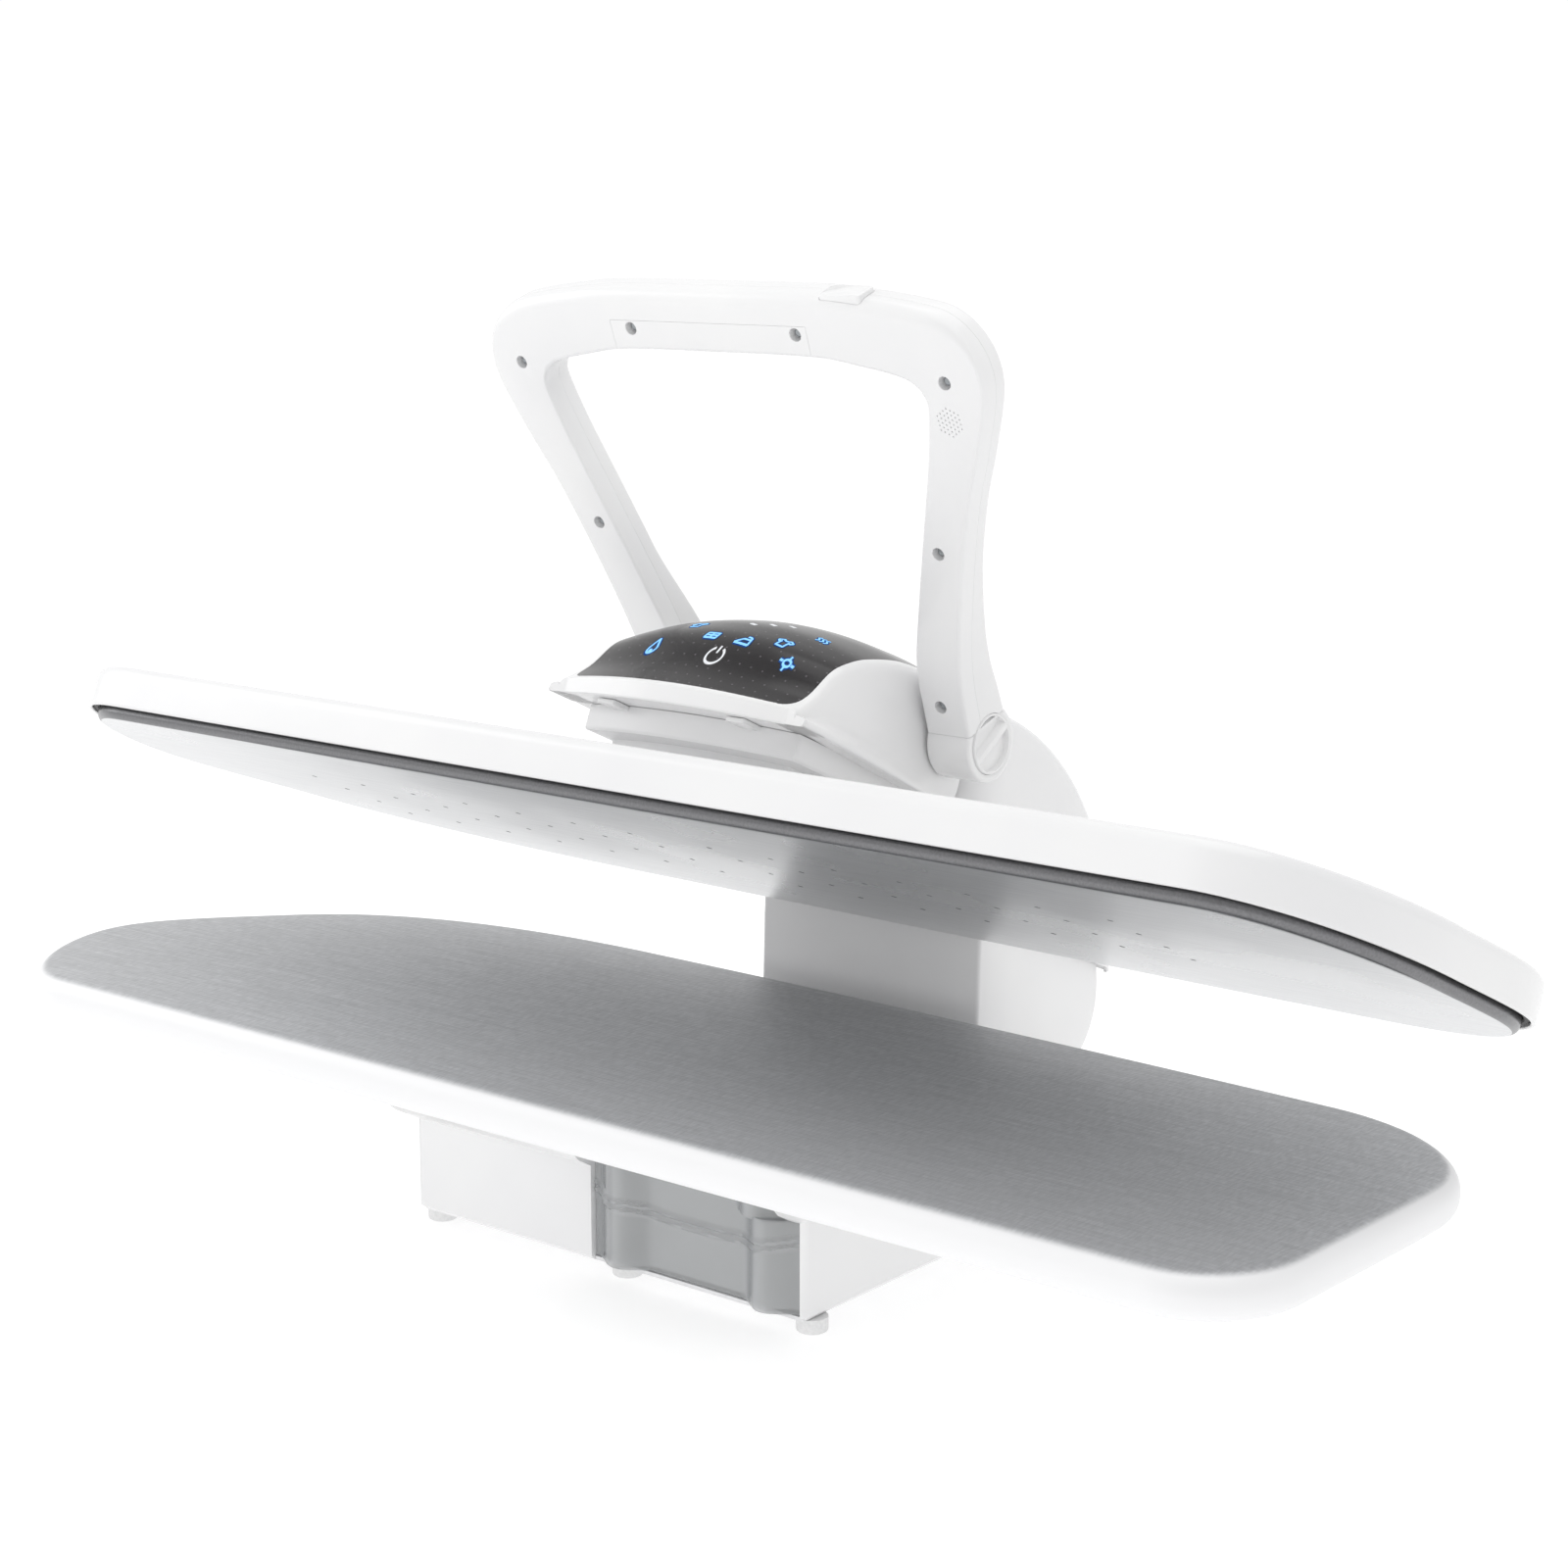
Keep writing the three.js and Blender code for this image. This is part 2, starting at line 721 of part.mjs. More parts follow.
const tankRib = alongY(ribBand, baseFrontY - ribBandDepth - tankBulge, baseFrontY)
  .intersect(moved(ribStock, 0, -ribProud, 0))
  .subtract(tankRoom);
const lipStock = alongZ(tankLoop(0, tankWide), baseBottomZ, baseBottomZ + tankLipHeight);
const tankLipBody = moved(lipStock, 0, -tankLip, 0)
  .intersect(box(tankLeftX, tankRightX, baseFrontY - overrun * 2, baseFrontY, 0, bayNotchZ))
  .subtract(plateRoom);
const outletHole = rodY(valveX, valveZ, valveRadius + seat, tankRearY - tankWall - overrun,
  tankRearY + overrun, smallSides);
const tankBody = tankShell.subtract(tankRoom).add(tankRib).add(tankLipBody).subtract(outletHole);
piece(press, 'water_tank', tankBody, clearPlastic);

const lidBottomZ = tankTopZ + seat;
const fillerX = (tankLeftX + tankNarrow) / 2;
const fillerY = tankRearY / 2;
const lid = alongZ(tankLoop(0, tankNarrow), lidBottomZ, lidBottomZ + lidThickness)
  .add(alongZ(tankLoop(tankWall + seat, tankNarrow), lidBottomZ - lidThickness, lidBottomZ + lidThickness))
  .subtract(rodZ(fillerX, fillerY, capRadius - capGrip, 0, tankTopZ + overrun));
piece(press, 'tank_lid', lid, clearPlastic);
const cap = rodZ(fillerX, fillerY, capRadius, lidBottomZ + lidThickness + seat,
  lidBottomZ + lidThickness + seat + capRise)
  .add(rodZ(fillerX, fillerY, capRadius - capGrip - seat, lidBottomZ - lidThickness,
    lidBottomZ + lidThickness + seat + capRise / 2));
piece(press, 'tank_cap', cap, rubberGrey);

const valve = rodY(valveX, valveZ, valveRadius, tankRearY - tankWall * 2, tankRearY + valveLength,
  smallSides)
  .add(rodY(valveX, valveZ, valveRadius + tankWall, tankRearY - tankWall * 2, tankRearY - tankWall - seat,
    smallSides))
  .subtract(rodY(valveX, valveZ, valveStem, tankRearY + valveLength / 2, tankRearY + overrun, smallSides));
piece(press, 'tank_valve', valve, softWhite);
const dock = rodY(valveX, valveZ, dockRadius, bayRearY, bayRearY + dockLength + bayWall)
  .add(rodY(valveX, valveZ, dockRadius + bayWall, bayRearY + bayWall + seat,
    bayRearY + dockLength + bayWall))
  .subtract(rodY(valveX, valveZ, valveRadius + seat, bayRearY - overrun, bayRearY + dockLength, smallSides));
piece(press, 'valve_dock', dock, blackSeal);

// Steam pump: a solenoid pump in a moulded cradle, with its inlet towards the tank

const plateTopZ = baseBottomZ + basePlate;
const pumpZ = plateTopZ + seat + cradleWall + pumpRadius + pumpCoil;
const pumpHalf = pumpRadius + pumpCoil;
const cradle = box(pumpX - pumpHalf, pumpX + pumpHalf, pumpY - pumpLength / 2, pumpY + pumpLength / 2,
  plateTopZ + seat, pumpZ - pumpCoil)
  .subtract(rodY(pumpX, pumpZ, pumpHalf - cradleWall / 2, pumpY - pumpLength, pumpY + pumpLength));
piece(press, 'pump_cradle', cradle, softWhite);
const pump = rodY(pumpX, pumpZ, pumpHalf - cradleWall / 2 - seat, pumpY - pumpLength / 2 - cradleWall,
  pumpY + pumpLength / 2 + cradleWall)
  .add(rodY(pumpX, pumpZ, pumpRadius / 2, pumpY - pumpLength / 2 - pumpNozzleLength / 2,
    pumpY + pumpLength / 2 + pumpNozzleLength / 2))
  .add(rodY(pumpX, pumpZ, pumpNozzle, pumpY - pumpLength / 2 - pumpNozzleLength,
    pumpY + pumpLength / 2 + pumpNozzleLength, smallSides));
piece(press, 'steam_pump', pump, brassFinish);

// Power board on four posts, with its transformer and capacitor
const boardLowZ = plateTopZ + seat + powerBoardPost;
const boardHighZ = boardLowZ + powerBoardThickness;
const powerX = pumpX + powerBoardPost;
const postPlaces = [-1, 1].flatMap((i) => [-1, 1].map((j) => [
  powerX + i * (powerBoardLength / 2 - powerPostInset),
  powerBoardY + powerBoardDepth / 2 + j * (powerBoardDepth / 2 - powerPostInset),
]));
const powerBoard = box(powerX - powerBoardLength / 2, powerX + powerBoardLength / 2, powerBoardY,
  powerBoardY + powerBoardDepth, boardLowZ, boardHighZ)
  .add(joined(postPlaces.map(([x, y]) => rodZ(x, y, powerPostRadius, plateTopZ + seat, boardHighZ,
    smallSides))))
  .add(box(powerX - transformerLength / 2, powerX + transformerLength / 2, powerBoardY + powerPostInset,
    powerBoardY + powerPostInset + transformerDepth, boardLowZ, boardHighZ + transformerHeight))
  .add(rodZ(powerX, powerBoardY + powerBoardDepth - transformerDepth, capacitorRadius, boardLowZ,
    boardHighZ + capacitorHeight));
piece(press, 'power_board', powerBoard, circuitGreen);

const gland = rodY(glandX, glandZ, glandRadius, baseRearY + seat, baseRearY + seat + glandLength)
  .add(rodY(glandX, glandZ, glandRadius / 2, baseRearY - baseWall - seat, baseRearY + glandLength / 2,
    smallSides))
  .subtract(rodY(glandX, glandZ, glandBore, baseRearY - overrun, baseRearY + glandLength + overrun,
    smallSides));
piece(press, 'mains_gland', gland, softWhite);

// Column: a moulded shell whose top is a drum round the hinge, so the rear cover turns over it

const columnRearY = hingeY + drumRadius;
const columnBottomZ = baseRearTopZ + seat;

function columnProfile(skin) {
  const radius = drumRadius - skin;
  const front = columnFrontY + columnLean + skin;
  const frontTurn = 180 - THREE.MathUtils.radToDeg(Math.asin((columnTopZ - hingeZ) / radius));
  const chin = columnChin - skin;
  return [
    [columnFrontY + skin, columnBottomZ - (skin > 0 ? overrun : 0)],
    [front, columnTopZ],
    ...arcPoints(hingeY, hingeZ, radius, frontTurn, 0, 16),
    ...arcPoints(columnRearY - columnChin, columnBottomZ + columnChin, chin, 0, -90, 6).slice(1),
    ...(skin > 0 ? [[columnRearY - columnChin, columnBottomZ - overrun]] : []),
  ];
}

const columnOpening = box(-columnHalfWidth + columnWall, columnHalfWidth - columnWall,
  columnFrontY - overrun, columnDrumRear, columnTopZ, hingeZ + drumRadius + overrun);
const columnShell = alongX(columnProfile(0), -columnHalfWidth, columnHalfWidth)
  .subtract(alongX(columnProfile(columnWall), -columnHalfWidth + columnWall,
    columnHalfWidth - columnWall))
  .subtract(columnOpening);
piece(press, 'column_shell', columnShell, whiteAbs);

// Main hinge: two steel brackets, the shaft, the stop bar and two torsion springs

// A place in the head's frame, told in the base's frame while the press is open
function whenOpen(u, w) {
  const turn = THREE.MathUtils.degToRad(openAngle);
  return [
    hingeY + u * Math.cos(turn) + w * Math.sin(turn),
    hingeZ - u * Math.sin(turn) + w * Math.cos(turn),
  ];
}

const [stopY, stopZ] = whenOpen(armHeel + stopRadius + seat, stopHeight);
const bracketPlateLoop = [
  [hingeY - bracketHub, columnBottomZ],
  [bracketRearY, columnBottomZ],
  [stopY + stopRadius * 2, stopZ - stopRadius],
  [stopY + stopRadius, stopZ + stopRadius * 2],
  ...arcPoints(hingeY, hingeZ, bracketHub, 80, 180, 6),
];
const bracketSide = alongX(bracketPlateLoop, bracketX, bracketX + bracketPlate)
  .add(box(bracketX - bracketFoot + bracketPlate, bracketX + bracketPlate, hingeY - bracketHub,
    bracketRearY, columnBottomZ, columnBottomZ + bracketPlate))
  .subtract(rodX(hingeY, hingeZ, shaftRadius + seat, 0, columnHalfWidth))
  .subtract(rodX(stopY, stopZ, stopRadius + seat, 0, columnHalfWidth, smallSides));
piece(press, 'hinge_bracket_right', bracketSide, steel);
piece(press, 'hinge_bracket_left', mirrored(bracketSide), steel);
piece(press, 'hinge_shaft', rodX(hingeY, hingeZ, shaftRadius, -shaftHalfLength, shaftHalfLength), steel);
piece(press, 'open_stop_bar', rodX(stopY, stopZ, stopRadius, -shaftHalfLength, shaftHalfLength,
  smallSides), steel);

// Each spring is one wire wound round the shaft between the arm and the bracket
const springInnerX = armX + armPlate + bushCollarLength + seat * 2;
const springOuterX = bracketX - seat;
const springRadius = (shaftRadius + seat + springWire / 2) / Math.cos(Math.PI / springSteps);
const springPitch = (springOuterX - springInnerX - springWire) / springTurns;

function springPath() {
  const steps = springTurns * springSteps;
  const points = [];
  for (let i = 0; i <= steps; i += 1) {
    const turn = (2 * Math.PI * i) / springSteps;
    points.push(new THREE.Vector3(
      springInnerX + springWire / 2 + springPitch * (i / springSteps),
      hingeY + springRadius * Math.cos(turn),
      hingeZ + springRadius * Math.sin(turn),
    ));
  }
  const first = points[0];
  const last = points[points.length - 1];
  points.unshift(new THREE.Vector3(first.x, first.y, first.z - springLeg));
  points.push(new THREE.Vector3(last.x, last.y, last.z + springLeg));
  return points;
}

// A round wire of five sides along a list of points, closed at both ends
function wire(points, radius, sides = 5) {
  const rings = points.map((point, i) => {
    const before = points[Math.max(i - 1, 0)];
    const after = points[Math.min(i + 1, points.length - 1)];
    const along = after.clone().sub(before).normalize();
    const across = new THREE.Vector3(1, 0, 0).addScaledVector(along, -along.x).normalize();
    const up = along.clone().cross(across);
    return Array.from({ length: sides }, (_, j) => {
      const turn = (2 * Math.PI * j) / sides;
      return point.clone().addScaledVector(across, radius * Math.cos(turn))
        .addScaledVector(up, radius * Math.sin(turn)).toArray();
    });
  });
  return loft(rings);
}

// The least gap between two turns, measured between the points of the wire's own line
function leastGap(points, apart, thickness) {
  let least = Infinity;
  points.forEach((point, i) => {
    for (const other of points.slice(i + apart)) least = Math.min(least, point.distanceTo(other));
  });
  return least - thickness;
}

const springLine = springPath();
const springGap = leastGap(springLine, springSteps / 2, springWire);
console.log(`torsion spring: least gap to itself ${springGap.toFixed(2)} mm`);
const springBody = wire(springLine, springWire / 2);
piece(press, 'torsion_spring_right', springBody, steel);
piece(press, 'torsion_spring_left', mirrored(springBody), steel);

// Arm: two steel cheeks on the shaft that climb over the housing's back edge to a bolted flange

const housingTopW = rimW + housingHeight + housingCrown;
const flangeW = housingTopW + seat;
const armLow = flangeW + armFlange;
const armReach = -plinthFrontU - hoodWall - armFrontGap;
const armProfile = [
  ...arcPoints(0, 0, armHub, 170, 390, 9),
  [armHeel, stopHeight],
  [armHeel - armPlate, armLow + armHub],
  [-armHub, armLow + armHub * 1.8],
  [hoodSeamU + armHub * 2, armLow + armHub * 1.8],
  [hoodSeamU - armHub, armLow + armHub / 2],
  [-armReach, armLow + armPlate],
  [-armReach, armLow - armFlange],
  [-armHub * 1.4, armLow - armFlange],
  [-armHub * 1.1, armHub],
];
const armCheek = alongX(armProfile, armX, armX + armPlate);
const armBore = rodX(0, 0, shaftRadius + bushWall + seat * 2, -bracketX, bracketX);
const earOuterX = armFlangeHalf;
const ear = alongX([
  [pivotU - earHalf, flangeW],
  [pivotU + earHalf, flangeW],
  ...arcPoints(pivotU, pivotW, earHalf, 0, 180, 8),
], earOuterX - earPlate, earOuterX);
const armBody = armCheek
  .add(mirrored(armCheek))
  .add(ear)
  .add(mirrored(ear))
  .add(box(-armFlangeHalf, armFlangeHalf, -armReach, -armRear, flangeW, armLow))
  .add(box(-armX - armPlate / 2, armX + armPlate / 2, hoodSeamU, hoodSeamU + armPlate, flangeW,
    armLow + armHub))
  .subtract(armBore)
  .subtract(rodX(pivotU, pivotW, pivotPinRadius + seat, -coverHalfWidth, coverHalfWidth));
piece(head, 'head_arm', armBody, steel);

const bushBody = rodX(0, 0, shaftRadius + bushWall + seat, armX - bushCollarLength, armX + armPlate)
  .add(rodX(0, 0, shaftRadius + bushCollar, armX + armPlate + seat,
    armX + armPlate + seat + bushCollarLength))
  .add(rodX(0, 0, shaftRadius + bushWall, armX + armPlate / 2, armX + armPlate + seat * 2))
  .subtract(rodX(0, 0, shaftRadius + seat, 0, bracketX));
piece(head, 'hinge_bush_right', bushBody, brassFinish);
piece(head, 'hinge_bush_left', mirrored(bushBody), brassFinish);

// Head housing: a shallow moulded tray turned over, its wall drawn in to a rounded top

const headLoop = planLoop(headShares, headLength, headDepth, headMiddleX, headFrontU);
const headCentre = middleOf(headLoop);
const housingTopRim = rimW + housingHeight;

function housingRings(skin, open) {
  const rings = [];
  if (open) rings.push(atHeight(inset(headLoop, skin), rimW - overrun));
  rings.push(atHeight(inset(headLoop, skin), rimW));
  const top = housingTopRim - skin;
  const radius = housingRound - skin / 2;
  for (const [over, w] of arcPoints(skin + radius, top - radius, radius, 180, 90, 3)) {
    rings.push(atHeight(inset(headLoop, over), w));
  }
  rings.push([[...headCentre, top + housingCrown]]);
  return rings;
}

const housingOuter = loft(housingRings(0, false));
const housing = housingOuter.subtract(loft(housingRings(housingWall, true)));
piece(head, 'head_housing', housing, whiteAbs);

// Sole plate: cast aluminium with rows of steam holes, spread wider apart at the middle
const soleBottomW = rimW - soleDrop;
const soleTopW = soleBottomW + soleThickness;
const soleLoop = inset(headLoop, soleInset);
const soleRings = [[[...headCentre, soleBottomW]], ...arcPoints(soleRound, soleBottomW + soleRound,
  soleRound, -90, -180, 3).map(([over, w]) => atHeight(inset(soleLoop, over), w)),
atHeight(soleLoop, soleTopW), [[...headCentre, soleTopW]]];
const steamHoles = [];
for (let row = 0; row < steamRows; row += 1) {
  const u = headCentre[1] - steamForward + (row - (steamRows - 1) / 2) * steamRowPitch;
  for (let column = 0; column < steamSideColumns; column += 1) {
    const x = steamFirstX + column * steamPitch;
    for (const side of [-x, x]) {
      steamHoles.push(rodZ(side, u, steamHole, soleBottomW - overrun, soleTopW + overrun, holeSides));
    }
  }
}
const sole = steamHoles.reduce((body, hole) => body.subtract(hole), loft(soleRings));
piece(head, 'sole_plate', sole, aluminium);

// Seal that closes the gap between the sole's side and the housing's wall
const gasketOuter = inset(headLoop, housingWall + seat);
const gasketInner = inset(headLoop, soleInset - seat);
const gasket = loft([
  atHeight(gasketOuter, soleTopW - gasketHeight),
  atHeight(gasketOuter, soleTopW),
  atHeight(gasketInner, soleTopW),
  atHeight(gasketInner, soleTopW - gasketHeight),
], true);
piece(head, 'sole_gasket', gasket, blackSeal);

// Steam chamber cover over the holes, with the heating element, thermostat and fuse on it
const chamberW = soleTopW + seat;
const chamberTopW = chamberW + chamberHeight;
const chamber = alongZ(roundedRect(chamberMiddleX - chamberLength / 2, chamberMiddleX + chamberLength / 2,
  headCentre[1] - chamberDepth / 2, headCentre[1] + chamberDepth / 2, chamberDepth / 4), chamberW,
chamberTopW);
piece(head, 'steam_chamber_cover', chamber, castAluminium);

const elementW = chamberTopW + seat + elementRadius;
const elementPath = [
  new THREE.Vector3(chamberMiddleX - elementLength / 2, headCentre[1] - elementWidth / 2, elementW),
  new THREE.Vector3(chamberMiddleX + elementLength / 2, headCentre[1] - elementWidth / 2, elementW),
  ...arcPoints(chamberMiddleX + elementLength / 2, headCentre[1], elementWidth / 2, -67.5, 67.5, 6)
    .map(([x, u]) => new THREE.Vector3(x, u, elementW)),
  new THREE.Vector3(chamberMiddleX + elementLength / 2, headCentre[1] + elementWidth / 2, elementW),
  new THREE.Vector3(chamberMiddleX - elementLength / 2, headCentre[1] + elementWidth / 2, elementW),
  new THREE.Vector3(chamberMiddleX - elementLength / 2 - elementPass, headCentre[1] + elementWidth / 2,
    elementW),
];

// A flat-lying tube of eight sides along points of one height
function flatTube(points, radius, sides = 8) {
  const rings = points.map((point, i) => {
    const before = points[Math.max(i - 1, 0)];
    const after = points[Math.min(i + 1, points.length - 1)];
    const along = after.clone().sub(before).normalize();
    const across = along.clone().cross(axisZ).normalize();
    return Array.from({ length: sides }, (_, j) => {
      const turn = (2 * Math.PI * (j + 0.5)) / sides;
      return point.clone().addScaledVector(across, radius * Math.cos(turn))
        .addScaledVector(axisZ, radius * Math.sin(turn)).toArray();
    });
  });
  return loft(rings);
}

const element = flatTube(elementPath, elementRadius)
  .add(rodZ(elementPath.at(-1).x, elementPath.at(-1).y, elementRadius, elementW,
    elementW + terminalRise, smallSides))
  .add(rodZ(elementPath[0].x, elementPath[0].y, elementRadius, elementW, elementW + terminalRise,
    smallSides));
piece(head, 'heating_element', element, steel);
const thermostat = rodZ(thermostatX, headCentre[1], thermostatRadius, chamberTopW + seat,
  chamberTopW + seat + thermostatHeight)
  .add(rodZ(thermostatX, headCentre[1], thermostatRadius * 1.4, chamberTopW + seat,
    chamberTopW + seat + thermostatHeight / 4));
piece(head, 'thermostat', thermostat, brassFinish);
const fuse = alongX(circle(headCentre[1], chamberTopW + seat + fuseRadius, fuseRadius, smallSides),
  fuseX - fuseLength / 2, fuseX + fuseLength / 2);
piece(head, 'thermal_fuse', fuse, softWhite);

// Steel frame that hangs the sole plate from the housing and takes the arm's bolts
const frameTopW = rimW + housingHeight - housingWall - frameGap;
const frameLowW = frameTopW - framePlate;
const frameMiddleX = 0;
const postXs = Array.from({ length: framePosts }, (_, i) => frameMiddleX
  + ((i + 0.5) / framePosts - 0.5) * frameLength);
const frameUs = [headCentre[1] - elementWidth / 4, headCentre[1] + elementWidth / 4];
const framePostSolids = postXs.flatMap((x) => frameUs.map((u) => rodZ(x, u, framePostRadius,
  chamberTopW + seat, rimW + housingHeight - housingWall - seat, smallSides)));
const frameBody = alongZ(roundedRect(frameMiddleX - frameLength / 2, frameMiddleX + frameLength / 2,
  headCentre[1] - frameDepth / 2, headCentre[1] + frameDepth / 2, frameGap * 2), frameLowW, frameTopW)
  .add(joined(framePostSolids));
piece(head, 'head_frame', frameBody, steel);

// Hood over the arm: a crowned moulding whose front slope carries the touch panel.
// The slope's shares are how far back and how high its shoulder line is at each step.

const slopeShares = [[0, 0], [0.126, 0.22], [0.244, 0.53], [0.37, 0.7], [0.51, 0.82], [0.76, 0.95], [1, 1]];
const slopeCurve = new THREE.SplineCurve(slopeShares.map(([a, b]) => new THREE.Vector2(a, b)));
const acrossShares = [1, 0.86, 0.6, 0.3, 0];
const cheekShares = [0.06, 0.5, 0.85];
const lipTopW = hoodSkirtW + hoodLip;
const wideHead = hoodSkirt * 2;
const coverSweepShare = 0.8;

// A closed body between an upper and a lower sheet of points that have the same rows and columns
function slab(upper, lower) {
  const rows = upper.length;
  const columns = upper[0].length;
  const places = [...upper.flat(2), ...lower.flat(2)];
  const below = rows * columns;
  const faces = [];
  const quad = (a, b, c, d) => faces.push(a, b, c, a, c, d);
  for (let r = 0; r + 1 < rows; r += 1) {
    for (let k = 0; k + 1 < columns; k += 1) {
      const a = r * columns + k;
      quad(a, a + 1, a + columns + 1, a + columns);
      quad(below + a, below + a + columns, below + a + columns + 1, below + a + 1);
    }
    const left = r * columns;
    const right = left + columns - 1;
    quad(left, left + columns, below + left + columns, below + left);
    quad(right + columns, right, below + right, below + right + columns);
  }
  const lastRow = (rows - 1) * columns;
  for (let k = 0; k + 1 < columns; k += 1) {
    quad(k + 1, k, below + k, below + k + 1);
    quad(lastRow + k, lastRow + k + 1, below + lastRow + k + 1, below + lastRow + k);
  }
  const geometry = new THREE.BufferGeometry();
  geometry.setAttribute('position', new THREE.Float32BufferAttribute(places, 3));
  geometry.setIndex(faces);
  return solid(geometry);
}

// One line of points across the hood, from the left skirt over the crown to the right skirt
function hoodLine(u, topW, crown, bow, skin, drop) {
  const top = topW - drop;
  const skirtTop = hoodSkirtW + hoodSkirtHeight - skin / 2;
  const half = [[hoodSkirt - skin, skirtTop]];
  for (const share of cheekShares) {
    const turnIn = share > cheekShares[1] ? (hoodCheek - hoodShoulder) / 2 : 0;
    half.push([hoodCheek - skin - turnIn, skirtTop + (top - skirtTop) * share]);
  }
  for (const share of acrossShares) {
    half.push([(hoodShoulder - skin) * share, top + crown * (1 - share * share)]);
  }
  const place = ([x, w]) => [x, u - bow * (1 - Math.min(1, (x / hoodShoulder) ** 2)), w];
  const left = half.slice(0, -1).map(([x, w]) => [-x, w]);
  return [...left, ...half.slice().reverse()].map(place);
}

function hoodSheet(skin, drop, firstStep) {
  const rows = slopeCurve.getPoints(slopeSteps).slice(firstStep).map(({ x: along, y: lift }) => {
    const topW = lipTopW + (hoodTopW - lipTopW) * lift;
    const crown = hoodCrown * Math.min(1, hoodLipCrown + lift);
    return hoodLine(hoodFrontU + hoodSlope * along, topW, crown, hoodBow * (1 - along), skin, drop);
  });
  rows.push(hoodLine(hoodSeamU - seat / 2 + (skin > 0 ? overrun : 0), hoodTopW, hoodCrown, 0, skin, drop));
  return rows;
}

const hoodSurface = hoodSheet(0, 0, 0);
const flattened = (rows, w) => rows.map((row) => row.map(([x, u]) => [x, u, w]));
const lowered = (rows, drop) => rows.map((row) => row.map(([x, u, w]) => [x, u, w - drop]));
const hoodRoomSheet = hoodSheet(hoodWall, glassThickness + hoodWall, 2);
const hoodStock = slab(hoodSurface, flattened(hoodSurface, hoodSkirtW));
const hoodRoom = slab(hoodRoomSheet, flattened(hoodRoomSheet, hoodSkirtW - overrun));

// The panel seen from above: a bowed front, round front corners and straight sides
function glassLoop(grow) {
  const half = glassHalfWidth + grow;
  const front = hoodFrontU + glassFrontGap - grow;
  const steps = 10;
  const bowed = Array.from({ length: steps + 1 }, (_, i) => {
    const x = (half - glassCorner) * (-1 + (2 * i) / steps);
    return [x, front - hoodBow * (1 - (x / hoodShoulder) ** 2)];
  });
  const cornerU = bowed.at(-1)[1] + glassCorner;
  return [
    ...bowed,
    ...arcPoints(half - glassCorner, cornerU, glassCorner, -75, 0, 4),
    [half - glassTaper, glassRearU + grow],
    [-half + glassTaper, glassRearU + grow],
    ...arcPoints(-half + glassCorner, cornerU, glassCorner, 180, 255, 4),
  ];
}

const glassStock = (grow) => alongZ(glassLoop(grow), hoodSkirtW, hoodTopW + hoodCrown + overrun);
const glassLayer = (depth) => slab(lowered(hoodSurface, -overrun), lowered(hoodSurface, depth));
const glassPocket = glassStock(seat).intersect(glassLayer(glassThickness + seat));
const pinHole = rodX(pivotU, pivotW, pivotPinRadius + seat * 2, -wideHead, wideHead);
const hoodShell = hoodStock
  .subtract(hoodRoom)
  .subtract(glassPocket)
  .subtract(pinHole);
piece(head, 'hood_shell', hoodShell, whiteAbs);
const glass = glassStock(0).intersect(hoodStock.intersect(glassLayer(glassThickness)));
piece(head, 'touch_panel_glass', glass, blackGlass);

// Pedestal under the hood: a recessed fascia stepping in to a plinth on the housing
function pedestalLoop(half, front, grow) {
  const steps = 8;
  const reach = half + grow;
  const bowed = Array.from({ length: steps + 1 }, (_, i) => {
    const x = reach * (-1 + (2 * i) / steps);
    return [x, front - grow - hoodBow * (1 - (x / reach) ** 2)];
  });
  return [...bowed, [reach, hoodSeamU - seat / 2], [-reach, hoodSeamU - seat / 2]];
}

const pedestalTopW = hoodSkirtW - seat;
const pedestalRings = (grow, low, high) => [
  atHeight(pedestalLoop(plinthHalfWidth, plinthFrontU, grow), low),
  atHeight(pedestalLoop(plinthHalfWidth, plinthFrontU, grow), pedestalStepW - hoodWall - grow),
  atHeight(pedestalLoop(pedestalHalfWidth, pedestalFrontU, grow), pedestalStepW - grow),
  atHeight(pedestalLoop(pedestalHalfWidth, pedestalFrontU, grow), high),
];
const pedestalRoom = loft(pedestalRings(-hoodWall, flangeW - overrun, pedestalTopW + overrun))
  .add(box(-plinthHalfWidth + hoodWall, plinthHalfWidth - hoodWall, hoodSeamU - overrun,
    hoodSeamU + overrun, flangeW - overrun, pedestalTopW + overrun));
const clip = (x) => box(x - clipWidth / 2, x + clipWidth / 2, pedestalFrontU - hoodBow - clipReach,
  pedestalFrontU + hoodWall, pedestalTopW - clipHeight, pedestalTopW);
const pedestal = loft(pedestalRings(0, flangeW, pedestalTopW))
  .add(clip(-clipX))
  .add(clip(clipX))
  .subtract(pedestalRoom);
piece(head, 'hood_pedestal', pedestal, whiteAbs);

// Control board on the pedestal's inner ledge, with its processor and a relay
const controlW = pedestalStepW + hoodWall + seat;
const controlHalf = pedestalHalfWidth - hoodWall - controlBoardGap;
const controlFront = pedestalFrontU + hoodWall + controlBoardGap;
const controlTop = controlW + controlBoardThickness;
const controlRear = pivotU - earHalf - controlBoardGap;
const controlBoard = box(-controlHalf, controlHalf, controlFront, controlRear, controlW, controlTop)
  .add(box(-chipSide / 2, chipSide / 2, controlFront + chipSide, controlFront + chipSide * 2, controlW,
    controlTop + chipHeight))
  .add(box(chipSide * 1.5, chipSide * 3, controlFront + chipSide, controlFront + chipSide * 1.5,
    controlW, controlTop + chipHeight * 2));
piece(head, 'control_board', controlBoard, circuitGreen);

// Rear cover: it carries the hood's crown over the column and down behind it

